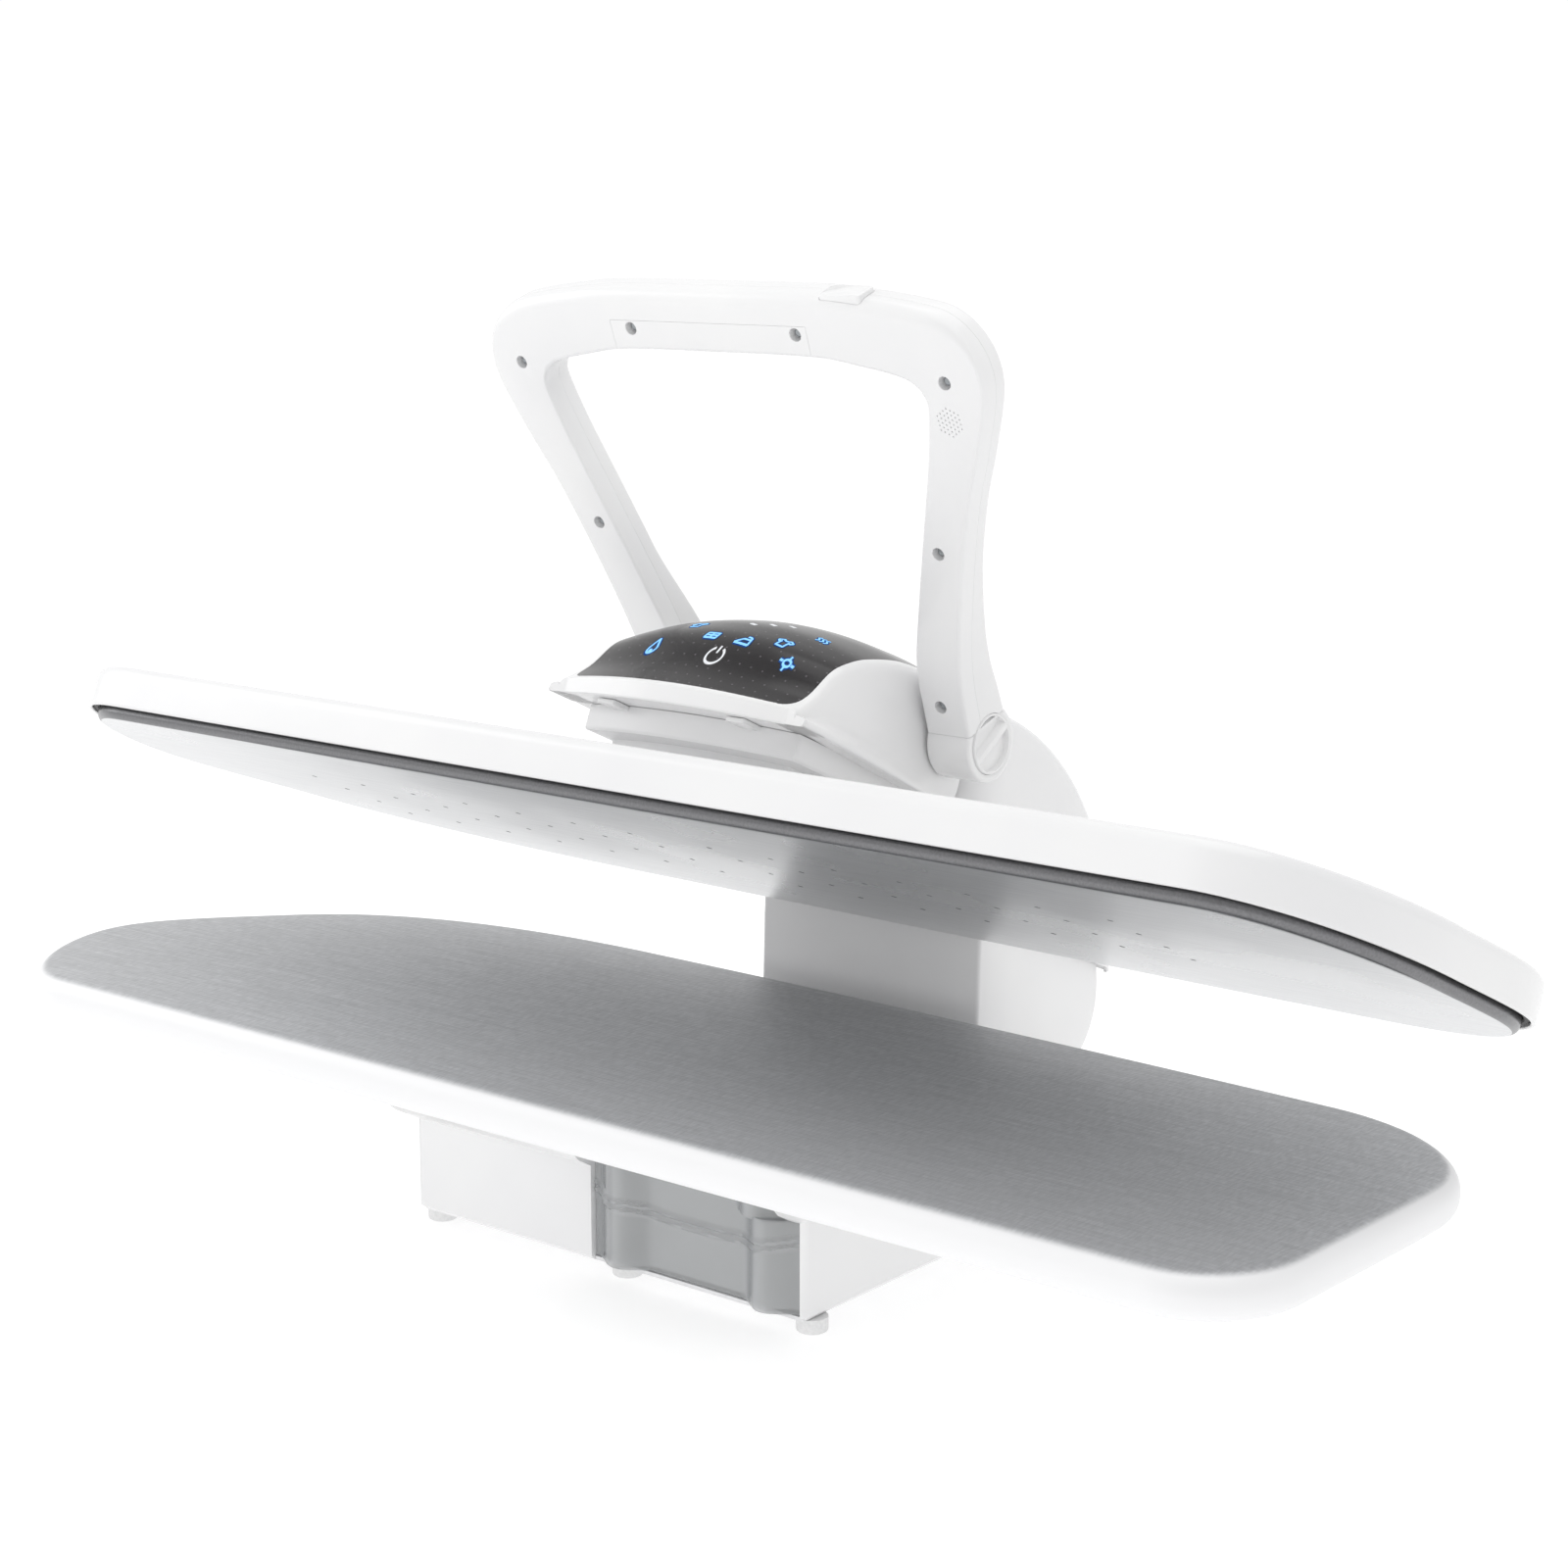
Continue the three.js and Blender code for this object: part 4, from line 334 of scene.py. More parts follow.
tree.links.new(tone.outputs["Color"], painted_edge_reflection.inputs[6])
painted_edge_reflection.inputs[7].default_value = linear("#f2f2f3")
rough = add(tree, "ShaderNodeMapRange", {"Value": weave.outputs["Value"]},
            {"From Min": 0.1, "From Max": 0.45, "To Min": 0.52, "To Max": 0.4})
metal = add(tree, "ShaderNodeMapRange", {"Value": painted_edge_band.outputs["Result"]},
            {"To Min": 0.62, "To Max": 0.1})
bump = add(tree, "ShaderNodeBump", {"Height": weave.outputs["Value"]}, {"Strength": 0.14, "Distance": 0.0004})
cloth_shader = add(tree, "ShaderNodeBsdfPrincipled",
                   {"Roughness": rough.outputs["Result"], "Metallic": metal.outputs["Result"],
                    "Normal": bump.outputs["Normal"]})
tree.links.new(painted_edge_reflection.outputs[2], cloth_shader.inputs["Base Color"])
tree.links.new(cloth_shader.outputs["BSDF"], out.inputs["Surface"])

cover = skin("board_cloth", [(in_base(cover_grid), True, (False, False))], "base", cloth,
             ("board_cover", "board_foam_pad"),
             modifiers=[("SOLIDIFY", {"thickness": 0.0012, "offset": -1})])

# Moulded ABS: injection moulded in a polished tool, so it is glossy with the faintest orange peel
# and a barely warmer tone where the wall is thick.
white_abs, tree, out, place = finish("moulded_white_abs")
peel = add(tree, "ShaderNodeTexNoise", {"Vector": place}, {"Scale": 420.0, "Detail": 2.0})
drift = add(tree, "ShaderNodeTexNoise", {"Vector": place}, {"Scale": 9.0, "Detail": 2.0})
abs_tone = ramp(tree, drift.outputs["Fac"], [(0.3, "#ebebec"), (0.7, "#f0f0f0")])
abs_rough = add(tree, "ShaderNodeMapRange", {"Value": peel.outputs["Fac"]},
                {"From Min": 0.3, "From Max": 0.7, "To Min": 0.2, "To Max": 0.27})
abs_bump = add(tree, "ShaderNodeBump", {"Height": peel.outputs["Fac"]},
               {"Strength": 0.03, "Distance": 0.0004})
abs_shader = add(tree, "ShaderNodeBsdfPrincipled",
                 {"Base Color": abs_tone.outputs["Color"], "Roughness": abs_rough.outputs["Result"],
                  "Normal": abs_bump.outputs["Normal"]}, {"IOR": 1.52})
tree.links.new(abs_shader.outputs["BSDF"], out.inputs["Surface"])

# Head housing: a shallow moulded tray turned over, its wall rounded into a slightly crowned top.
# It is one shell of 3 mm, open below, where the sole plate hangs inside its rim.
head_rows = [
    [[0.38, 0], [0.66, 0], [0.91, 0]], [[0.958, 0], [0.995, 0.2], [0.997, 0.47]],
    [[0.998, 0.54], [1, 0.6], [1, 0.68]], [[1, 0.88], [0.965, 1.02], [0.89, 1.03]],
    [[0.76, 1.02], [0.55, 0.975], [0.35, 0.93]], [[0.2, 0.9], [0.117, 0.79], [0.072, 0.64]],
    [[0.016, 0.52], [0, 0.46], [0, 0.362]], [[0, 0.22], [0.045, 0], [0.094, 0]],
]
head_length, head_depth, head_middle_x, head_front = 1012, 316, 2, -401
head_loop = plan_outline(head_rows, head_length, head_depth, head_middle_x, head_front)
head_middle = (head_loop.min(0) + head_loop.max(0)) / 2
rim_w, housing_top, housing_round, housing_wall = 36.0, 64.5, 9.0, 3.0
housing_table = [(housing_wall, housing_top - housing_wall), (housing_wall, rim_w + 0.6)]
housing_table += [(over, rim_w + 1 - lift) for over, lift in ((2.4, 1), (0.8, 1), (0.25, 0.75), (0, 0.2))]
housing_table += [(0, rim_w + 2), (0, housing_top - housing_round)]
housing_turn = (housing_round, housing_top - housing_round)
housing_table += [tuple(p) for p in arc(housing_round, 180, 90, 9, housing_turn)]
housing_rings = level_rings(head_loop, housing_table)
housing_ring = housing_rings[-1]
housing_rise = 1.5
housing_crown = np.stack([housing_ring * (1 - s) + np.array([*head_middle, housing_top]) * s
                          + [0, 0, housing_rise * (1 - (1 - s) ** 2)] for s in (0.04, 0.2, 0.5, 0.8, 0.97)])
skin("head_tray", closed(in_head, [np.concatenate([housing_rings, housing_crown])]), "head", white_abs,
     ("head_housing",))

# Sole plate: cast aluminium, its face ground and coated satin; its rounded rim is painted a darker metal, a
# painted dark reflection.
# Four rows of steam holes, each lightly countersunk, run along it with a wider gap at the middle.
sole_low, sole_high, sole_round, sole_inset = 29.0, 40.5, 5.0, 8.0
sole_loop = inset(head_loop, sole_inset)
sole_side = [tuple(p) for p in arc(sole_round, -90, -180, 10, (sole_round, sole_low + sole_round))]
sole_side += [(0.3, sole_high - 2), (1, sole_high)]
sole_grid = level_rings(sole_loop, [(20, sole_low), (9, sole_low)] + sole_side)
# Ground and coated: fine scratches along the plate under a thin coat, so it mirrors softly and
# runs from pale grey to white with what it faces.
sole_face, tree, out, place = finish("ground_coated_aluminium")
grind = add(tree, "ShaderNodeMapping", {"Vector": place}, {"Scale": (30, 900, 900)})
scratch = add(tree, "ShaderNodeTexNoise", {"Vector": grind.outputs["Vector"]}, {"Scale": 1.0, "Detail": 4.0})
cloud = add(tree, "ShaderNodeTexNoise", {"Vector": place}, {"Scale": 6.0, "Detail": 2.0})
coat_tone = ramp(tree, scratch.outputs["Fac"], [(0.3, "#cfd0d2"), (0.7, "#dfe0e1")])
coat_rough = add(tree, "ShaderNodeMapRange", {"Value": cloud.outputs["Fac"]},
                 {"From Min": 0.3, "From Max": 0.7, "To Min": 0.26, "To Max": 0.32})
coat_bump = add(tree, "ShaderNodeBump", {"Height": scratch.outputs["Fac"]},
                {"Strength": 0.06, "Distance": 0.0003})
coat = add(tree, "ShaderNodeBsdfPrincipled",
           {"Base Color": coat_tone.outputs["Color"], "Roughness": coat_rough.outputs["Result"],
            "Normal": coat_bump.outputs["Normal"]}, {"Metallic": 0.75})
tree.links.new(coat.outputs["BSDF"], out.inputs["Surface"])


def grained(name, scale, detail, stops, values, bump=None):
    """A finish whose tone follows a fine noise between two colours; its bump, if it has one, is
    given as strength and height in metres and follows the same noise."""
    material, tree, out, place = finish(name)
    grain = add(tree, "ShaderNodeTexNoise", {"Vector": place}, {"Scale": scale, "Detail": detail})
    links = {"Base Color": ramp(tree, grain.outputs["Fac"], stops).outputs["Color"]}
    if bump:
        relief = add(tree, "ShaderNodeBump", {"Height": grain.outputs["Fac"]},
                     {"Strength": bump[0], "Distance": bump[1]})
        links["Normal"] = relief.outputs["Normal"]
    shader = add(tree, "ShaderNodeBsdfPrincipled", links, values)
    tree.links.new(shader.outputs["BSDF"], out.inputs["Surface"])
    return material


# A grainy mid grey metal, darker than the face: a painted dark reflection on the sole's rounded wall and
# painted shade in its drills.
painted_dark_metal = grained("sole_painted_dark_metal", 700.0, 3.0, [(0.3, "#747476"), (0.7, "#828284")],
                    {"Metallic": 0.9, "Roughness": 0.3}, (0.2, 0.0003))
sole = skin("sole_casting", closed(in_head, [sole_grid]), "head", sole_face,
            ("sole_plate",), weld=1e-6)
sole.data.materials.append(painted_dark_metal)


def cut(piece, name, grids):
    """Takes closed grids of places in metres out of a piece and removes the cutter."""
    cutter = skin(name, grids, piece["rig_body"], piece.data.materials[0])
    modifier = piece.modifiers.new("cut", "BOOLEAN")
    modifier.object = cutter
    modifier.solver = "EXACT"
    bpy.context.view_layer.update()
    whole = bpy.data.meshes.new_from_object(piece.evaluated_get(bpy.context.evaluated_depsgraph_get()))
    piece.modifiers.remove(modifier)
    piece.data = whole
    bpy.data.objects.remove(cutter)
    whole.set_sharp_from_angle(angle=math.radians(35))


def lathe(profile, centres, axis, sides=16):
    """Turned bodies: a profile (radius, height) turned about an axis of the local frame, set at
    each centre; gives one closed grid of rings for each centre."""
    turn = np.linspace(0, 2 * math.pi, sides, endpoint=False)
    radius, height = np.array(profile, float).T
    ring = np.stack([radius[:, None] * np.cos(turn), radius[:, None] * np.sin(turn),
                     np.broadcast_to(height[:, None], (len(radius), sides))], -1)
    order = {"w": (0, 1, 2), "n": (0, 2, 1), "x": (2, 0, 1)}[axis]
    return [ring[..., order] + np.asarray(spot, float) for spot in centres]


first_hole, hole_pitch, row_pitch, first_row = 32, 47.5, 32.0, -292.26
side_x = first_hole + hole_pitch * np.arange(7)
hole_x, hole_u = np.meshgrid(np.concatenate([-side_x[::-1], side_x]), first_row + row_pitch * np.arange(4))
hole_spots = np.column_stack([hole_x.ravel(), hole_u.ravel(), np.zeros(hole_x.size)])
hole_profile = [(2.6, sole_low - 1), (1.9, sole_low), (1.4, sole_low + 0.7), (1.3, sole_low + 8)]
cut(sole, "steam_drills", closed(in_head, lathe(hole_profile, hole_spots, "w", 14)))
# the ground face keeps the coat; the wall and the drills take the darker metal: painted dark reflection on
# the wall, painted shade in the drills
sole_normal = np.empty(len(sole.data.polygons) * 3)
sole.data.polygons.foreach_get("normal", sole_normal)
tilt = math.radians(open_degrees)
plate_down = np.array([0, -math.sin(tilt), -math.cos(tilt)])
down = sole_normal.reshape(-1, 3) @ plate_down
sole_centre = np.empty(len(sole.data.polygons) * 3)
sole.data.polygons.foreach_get("center", sole_centre)
sunk = -(sole_centre.reshape(-1, 3) * 1000 - hinge_at) @ plate_down > sole_low + 0.2
sole.data.polygons.foreach_set("material_index", (sunk | (down < 0.5)).astype(np.int32))
sole.data.polygons.foreach_set("use_smooth", down < 0.999)

# A black strip set in the gap between the sole's side and the housing's rim: a dark piece that stands in for
# the shade in that gap.
# The black rubber, also used for the valve dock and the beeper, blooms a little, so it stays soft and never
# quite black.
black_rubber_and_gap_shade = grained("black_silicone_and_gap_shade", 300.0, 3.0, [(0.3, "#1c1c1e"), (0.7, "#29292b")], {"Roughness": 0.6})
gap_shade_table = [(3.3, 38.4), (4.5, 37.4), (6.5, 37.4), (7.7, 38.4), (7.7, 40.5), (3.3, 40.5), (3.3, 38.4)]
skin("rim_gap_shade", [(in_head(level_rings(head_loop, gap_shade_table)), True, (False, False))], "head", black_rubber_and_gap_shade,
     ("sole_gasket",))

# Hood: a crowned moulding over the arm. Its rows follow the panel's S slope, bowed to the front,
# then run level to the seam; its columns cross the crown, round down the cheeks and flare to a
# skirt that is closed below. The panel's pocket is a step in the same sheet.
hood_front, hood_slope, hood_bow, hood_seam = -323.6, 127.0, 13.0, -150.15
lip_w, skirt_w, hood_top, hood_crown = 113.7, 104.2, 173.7, 16.5
shoulder, cheek = 88.0, 94.0
slope_shares = np.array([[0, 0], [0.126, 0.22], [0.244, 0.53], [0.37, 0.7], [0.51, 0.82], [0.76, 0.95],
                         [1, 1]])


def spline(points, samples):
    """A smooth curve through points, each span the cubic that takes its end slopes from its
    neighbours, sampled at even steps of its parameter."""
    points = np.asarray(points, float)
    spans = len(points) - 1
    at = np.linspace(0, spans, samples)
    i = np.minimum(at.astype(int), spans - 1)
    w = (at - i)[:, None]
    before, here, after = points[np.maximum(i - 1, 0)], points[i], points[i + 1]
    beyond = points[np.minimum(i + 2, spans)]
    v0, v1 = (after - before) / 2, (beyond - here) / 2
    return ((2 * here - 2 * after + v0 + v1) * w ** 3 + (3 * after - 3 * here - 2 * v0 - v1) * w ** 2
            + v0 * w + here)


slope_line = spline(slope_shares, 400)


def bow_share(x):
    """Share of the bow left at x: a parabola, 1 at the middle and 0 at the shoulder."""
    return np.clip(1 - (np.asarray(x, float) / shoulder) ** 2, 0, 1)


def slope_place(x, u):
    """How far back along the slope a place (x, u) lies, from 0 at the lip to 1 at its top."""
    g = bow_share(x)
    return (u - hood_front + hood_bow * g) / (hood_slope + hood_bow * g)


def hood_height(x, u):
    """Height of the hood's top surface over (x, u)."""
    lift = np.interp(slope_place(x, u), slope_line[:, 0], slope_line[:, 1])
    return lip_w + (hood_top - lip_w) * lift + hood_crown * np.minimum(1, 0.1 + lift) * bow_share(x)


def blend_step(value, start, end):
    """A smooth step from 0 at the start to 1 at the end: 3 s squared less 2 s cubed."""
    s = np.clip((np.asarray(value, float) - start) / (end - start), 0, 1)
    return s * s * (3 - 2 * s)


glass_half, glass_half_rear, glass_corner, glass_rear, glass_gap = 87.0, 81.0, 12.0, -185.0, 2.5
pocket_deep, slope_end = 2.4, hood_front + hood_slope
corner_x = glass_half - glass_corner
corner_u = hood_front + glass_gap - hood_bow * bow_share(corner_x) + glass_corner
turns = np.radians(np.linspace(0, 90, 9))
edge_x = corner_x + glass_corner * np.sin(turns)
edge_u = corner_u - glass_corner * np.cos(turns)
edge_a = slope_place(edge_x, edge_u)
slope_rows = np.linspace(edge_a[-1], 1, 34)[1:]
glass_taper = blend_step(slope_rows * hood_slope + hood_front, corner_u, glass_rear)
slope_edge = glass_half - (glass_half - glass_half_rear) * glass_taper
level_rows = np.linspace(slope_end, glass_rear, 6)[1:]
rows_a = np.concatenate([edge_a, slope_rows])
rows_edge = np.concatenate([edge_x, slope_edge])


def row_u(a, x):
    """Where the row at share a of the slope lies over x: the bow fades out as the slope rises."""
    g = bow_share(x)
    return hood_front - hood_bow * g + a * (hood_slope + hood_bow * g)


def hood_row(edge, lower, u_of, base=None):
    """One line across the hood: skirt, cheek, shoulder, the strip beside the panel, then the
    panel's pocket, lowered where it lies under the glass, and the same mirrored."""
    strip = np.array([shoulder, (shoulder + edge + 0.35) / 2, edge + 0.4, edge + 0.3])
    inner = (edge + 0.3) * np.linspace(1, 0, 13)
    x_top = np.concatenate([strip, inner])
    u_top = u_of(x_top)
    w_top = hood_height(x_top, u_top)
    w_top[4:] -= lower
    u_side = float(u_of(np.array([shoulder]))[0])
    low = skirt_w - 3.2 * blend_step(u_side, -312, -190)
    flare = 101 - 5.2 * blend_step(u_side, -230, -155)
    wall = cheek + 1.2 * blend_step(u_side, -230, -155)
    top = w_top[0]
    tall = top - low
    side = spline([[flare - 2.2, low], [flare, low + 0.8], [flare - 0.2, low + 4.6],
                   [wall + 1.1, low + 5 + 0.14 * tall], [wall, low + 0.45 * tall],
                   [wall - 0.6, low + 0.72 * tall], [wall - 2.6, low + 0.92 * tall],
                   [shoulder, top]], 34)[:-1]
    side = np.vstack([[[80, low + 0.6], [flare - 4.2, low + 0.1]], side])
    if base is not None:
        side[:, 1] = base
        w_top = np.full_like(w_top, base)
    x = np.concatenate([side[:, 0], x_top])
    w = np.concatenate([side[:, 1], w_top])
    u = np.concatenate([np.full(len(side), u_side), u_top])
    half = np.column_stack([x, u, w])
    return np.vstack([half, half[-2::-1] * [-1, 1, 1]])


under = [hood_row(corner_x, 0, lambda x: row_u(0, x) + 24, skirt_w),
         hood_row(corner_x, 0, lambda x: row_u(0, x) + 0.8, skirt_w),
         hood_row(corner_x, 0, lambda x: row_u(0, x), skirt_w + 0.8)]
front = [hood_row(corner_x, 0, lambda x: row_u(0, x)),
         hood_row(corner_x, 0, lambda x: row_u(edge_a[0] - 0.003, x)),
         hood_row(corner_x, 0, lambda x: row_u(edge_a[0] - 0.002, x))]
pocket = [hood_row(edge, pocket_deep, lambda x, a=a: row_u(a, x)) for a, edge in zip(rows_a, rows_edge)]
pocket += [hood_row(glass_half_rear, pocket_deep, lambda x, u=u: np.full_like(x, u)) for u in level_rows]
rear = [hood_row(glass_half_rear, 0, lambda x, u=u: np.full_like(x, u))
        for u in (glass_rear + 0.35, glass_rear + 0.5, -180, -174, -168, -162, -156, hood_seam)]
hood_grid = np.stack(under + front + pocket + rear)
skin("hood_moulding", [(in_head(hood_grid), False, (False, False))], "head", white_abs,
     ("hood_shell",), sharp=40)

# Touch panel: black back-printed glass, curved as the hood is, lit from behind in blue and white.
# Its sheet is 2.1 mm thick with a ground edge; a fine grid of grey dots is printed on the back,
# so it reads as a deep soft black with a faint texture and a broad dull highlight.
panel_glass, tree, out, place = finish("back_printed_black_glass")
dot_pitch = 0.0088
dot_grid = add(tree, "ShaderNodeMapping", {"Vector": place}, {"Scale": (1 / dot_pitch, 1 / dot_pitch, 0)})
cell = add(tree, "ShaderNodeVectorMath", {0: dot_grid.outputs["Vector"]}, operation="FRACTION")
from_middle = add(tree, "ShaderNodeVectorMath", {0: cell.outputs["Vector"]}, {1: (0.5, 0.5, 0)},
                  operation="SUBTRACT")
dot_far = add(tree, "ShaderNodeVectorMath", {0: from_middle.outputs["Vector"]}, operation="LENGTH")
dot = add(tree, "ShaderNodeMapRange", {"Value": dot_far.outputs["Value"]},
          {"From Min": 0.05, "From Max": 0.09, "To Min": 1.0, "To Max": 0.0})
smear = add(tree, "ShaderNodeTexNoise", {"Vector": place}, {"Scale": 30.0, "Detail": 3.0})
glass_tone = add(tree, "ShaderNodeMix", {"Factor": dot.outputs["Result"]}, data_type="RGBA")
glass_tone.inputs[6].default_value = linear("#1b181a")
glass_tone.inputs[7].default_value = linear("#565357")
glass_rough = add(tree, "ShaderNodeMapRange", {"Value": smear.outputs["Fac"]},
                  {"From Min": 0.3, "From Max": 0.7, "To Min": 0.16, "To Max": 0.2})
glass_shader = add(tree, "ShaderNodeBsdfPrincipled",
                   {"Base Color": glass_tone.outputs[2], "Roughness": glass_rough.outputs["Result"]},
                   {"IOR": 1.5, "Specular IOR Level": 0.32})
tree.links.new(glass_shader.outputs["BSDF"], out.inputs["Surface"])


def panel_row(edge, u_of):
    """One line of places (x, u) across the glass, between its edges."""
    x = np.linspace(-1, 1, 41) * edge
    return np.column_stack([x, u_of(x)])


glass_rows = [panel_row(edge, lambda x, a=a: row_u(a, x)) for a, edge in zip(rows_a, rows_edge)]
glass_rows += [panel_row(glass_half_rear, lambda x, u=u: np.full_like(x, u)) for u in level_rows]
glass_x, glass_u = np.moveaxis(np.stack(glass_rows), -1, 0)
glass_thick = 2.1
glass_top = np.stack([glass_x, glass_u, hood_height(glass_x, glass_u)], -1)
glass_grid = np.concatenate([glass_top, glass_top[:, ::-1] - [0, 0, glass_thick]], 1)
skin("touch_panel", closed(in_head, [glass_grid]), "head", panel_glass, ("touch_panel_glass",))

# Lit signs behind the glass: generic garment, heat and steam signs in blue, a power sign and
# three level bars in white, each a thin stroke that follows the panel's curve.
# The blue ones have a pale core and a deep blue halo, as a printed diffuser bleeds at its edge.
def lamp(name, code, strength):
    """Light through a printed diffuser: it glows a little unevenly."""
    material, tree, out, place = finish(name)
    uneven = add(tree, "ShaderNodeTexNoise", {"Vector": place}, {"Scale": 500.0})
    glow = add(tree, "ShaderNodeMapRange", {"Value": uneven.outputs["Fac"]},
               {"To Min": strength * 0.75, "To Max": strength * 1.25})
    shader = add(tree, "ShaderNodeEmission", {"Strength": glow.outputs["Result"]}, {"Color": linear(code)})
    tree.links.new(shader.outputs["Emission"], out.inputs["Surface"])
    return material


def strokes(name, lines, spot, size, material, width=0.9, lift=0.15):
    """Flat strokes laid on the panel: each line's points are shares of the sign's size about its
    spot (x, u); the stroke is a ribbon as wide as given, lifted a little over the glass."""
    grids = []
    for line in lines:
        points = np.asarray(line, float) * size * [0.9, 0.62] + spot
        way = np.gradient(points, axis=0)
        way /= np.maximum(np.linalg.norm(way, axis=1, keepdims=True), 1e-9)
        side = np.column_stack([-way[:, 1], way[:, 0]]) * width / 2
        sheet = np.stack([points - side, points + side])
        x, u = sheet[..., 0], sheet[..., 1]
        grids.append((in_head(np.stack([x, u, hood_height(x, u) + lift], -1)), False, (False, False)))
    return skin(name, grids, "head", material,
                modifiers=[("SOLIDIFY", {"thickness": 0.0001, "offset": 0})])


def ring(radius, start, end, centre=(0, 0), steps=20):
    """Part of a round stroke between two angles."""
    return arc(radius, start, end, steps, centre)


def line(*points, steps=6):
    """Straight runs between points, in small steps so that they can bend with the panel."""
    points = np.array(points, float)
    t = np.linspace(0, 1, steps)[:, None]
    return np.vstack([a + (b - a) * t for a, b in zip(points[:-1], points[1:])])


shirt = [line((-0.2, 0.5), (-0.5, 0.25), (-0.38, 0.05), (-0.25, 0.15)),
         line((-0.25, 0.2), (-0.25, -0.5), (0.25, -0.5), (0.25, 0.2)),
         line((0.2, 0.5), (0.5, 0.25), (0.38, 0.05), (0.25, 0.15)), ring(0.2, 180, 360, (0, 0.5))]
drop_sign = [np.vstack([ring(0.3, 180, 360, (0, -0.15)), line((0.3, -0.15), (0, 0.5), (-0.3, -0.15))]),
             ring(0.14, 200, 300, (0, -0.15))]
iron_sign = [line((-0.5, -0.4), (0.5, -0.4), (0.42, 0.1), (-0.1, 0.1), (-0.5, -0.4)),
             ring(0.3, 20, 110, (0.12, 0.1))]
wave_sign = [np.column_stack([0.12 * np.sin(np.linspace(0, 6.3, 24)) + x, np.linspace(-0.5, 0.5, 24)])
             for x in (-0.3, 0, 0.3)]
heat_sign = [ring(0.22, 0, 360), line((0, 0.3), (0, 0.5)), line((0, -0.3), (0, -0.5)),
             line((0.3, 0), (0.5, 0)), line((-0.3, 0), (-0.5, 0))]
cloth_sign = [line((-0.45, -0.3), (0.45, -0.3), (0.45, 0.3), (-0.45, 0.3), (-0.45, -0.3)),
              line((-0.45, 0), (0.45, 0)), line((0, -0.3), (0, 0.3))]
power_sign = [ring(0.5, 120, 420, (0, 0), 30), line((0, 0.15), (0, 0.6))]
blue = lamp("blue_diffuser", "#8ccbff", 1.35)
blue_halo = lamp("blue_halo", "#2f62b8", 0.55)
white_light = lamp("white_diffuser", "#f4f6fa", 1.0)
for name, lines, spot, size in (
        ("sign_water", drop_sign, (-41, -307.1), 13), ("sign_shirt", shirt, (-28.3, -287), 12),
        ("sign_cloth", cloth_sign, (-3.2, -301.1), 11), ("sign_iron", iron_sign, (21.9, -300.2), 12),
        ("sign_garment", shirt, (45, -291.5), 13), ("sign_steam", wave_sign, (55.8, -269), 12),
        ("sign_heat", heat_sign, (60.4, -302.5), 13)):
    strokes(name, lines, spot, size, blue, 1.3)
    strokes(name + "_halo", lines, spot, size, blue_halo, 2.9, 0.05)
strokes("sign_power", power_sign, (11.8, -311.7), 13, white_light, 1.3)
for k, spot in enumerate(((6.5, -277.8), (16.5, -271.3), (25, -262.9))):
    strokes(f"sign_level_{k}", [line((-0.4, 0.2), (0.4, -0.2))], spot, 8, white_light, 2.4)

# Pedestal: the recessed fascia under the hood, stepping in to a plinth on the housing.
# Its plan has a bowed front and straight sides; two small catches reach forward under the lip.
def pedestal_plan(half, front_u):
    """A plan with straight sides back to the seam and a front bowed as the hood's lip is."""
    x = np.linspace(-1, 1, 41)
    bowed = np.column_stack([half * x, front_u - hood_bow * (1 - x ** 2)])
    return even(np.vstack([bowed, [[half, hood_seam], [-half, hood_seam]]]), 260)


flange_w, step_w, pedestal_top = 66.3, 89.4, 103.9
plinth, fascia = pedestal_plan(71, -287), pedestal_plan(84, -301)
pedestal_rings = [(plinth, 0, flange_w), (plinth, 0, step_w - 5), (plinth, -0.8, step_w - 3.4),
                  (fascia, 1.2, step_w - 1.8), (fascia, 0.3, step_w - 0.9), (fascia, 0, step_w + 0.6),
                  (fascia, 0, pedestal_top)]
pedestal_grid = np.stack([np.column_stack([inset(loop, over), np.full(len(loop), w)])
                          for loop, over, w in pedestal_rings])


def block(low, high, round_by=1.0):
    """A box as a closed grid: its plan's corners are cut round, and its ends drawn in."""
    (x0, y0, z0), (x1, y1, z1) = low, high
    r = round_by
    turns = ((-90, (x1 - r, y0 + r)), (0, (x1 - r, y1 - r)), (90, (x0 + r, y1 - r)), (180, (x0 + r, y0 + r)))
    plan = np.vstack([arc(r, start, start + 90, 4, centre) for start, centre in turns])
    middle = np.array([(x0 + x1) / 2, (y0 + y1) / 2])
    inwards = (middle - plan) / np.abs(plan - middle).max()
    rings = [(0.6, z0), (0.2, z0 + 0.15 * r), (0, z0 + 0.6 * r), (0, z1 - 0.6 * r), (0.2, z1 - 0.15 * r),
             (0.6, z1)]
    return np.stack([np.column_stack([plan + inwards * share * r, np.full(len(plan), z)])
                     for share, z in rings])


catch_x, catch_half = 51.5, 7
catches = [block((x - catch_half, -325, pedestal_top - 3), (x + catch_half, -298, pedestal_top))
           for x in (-catch_x, catch_x)]
skin("hood_pedestal_moulding", closed(in_head, [pedestal_grid] + catches), "head", white_abs,
     ("hood_pedestal",))

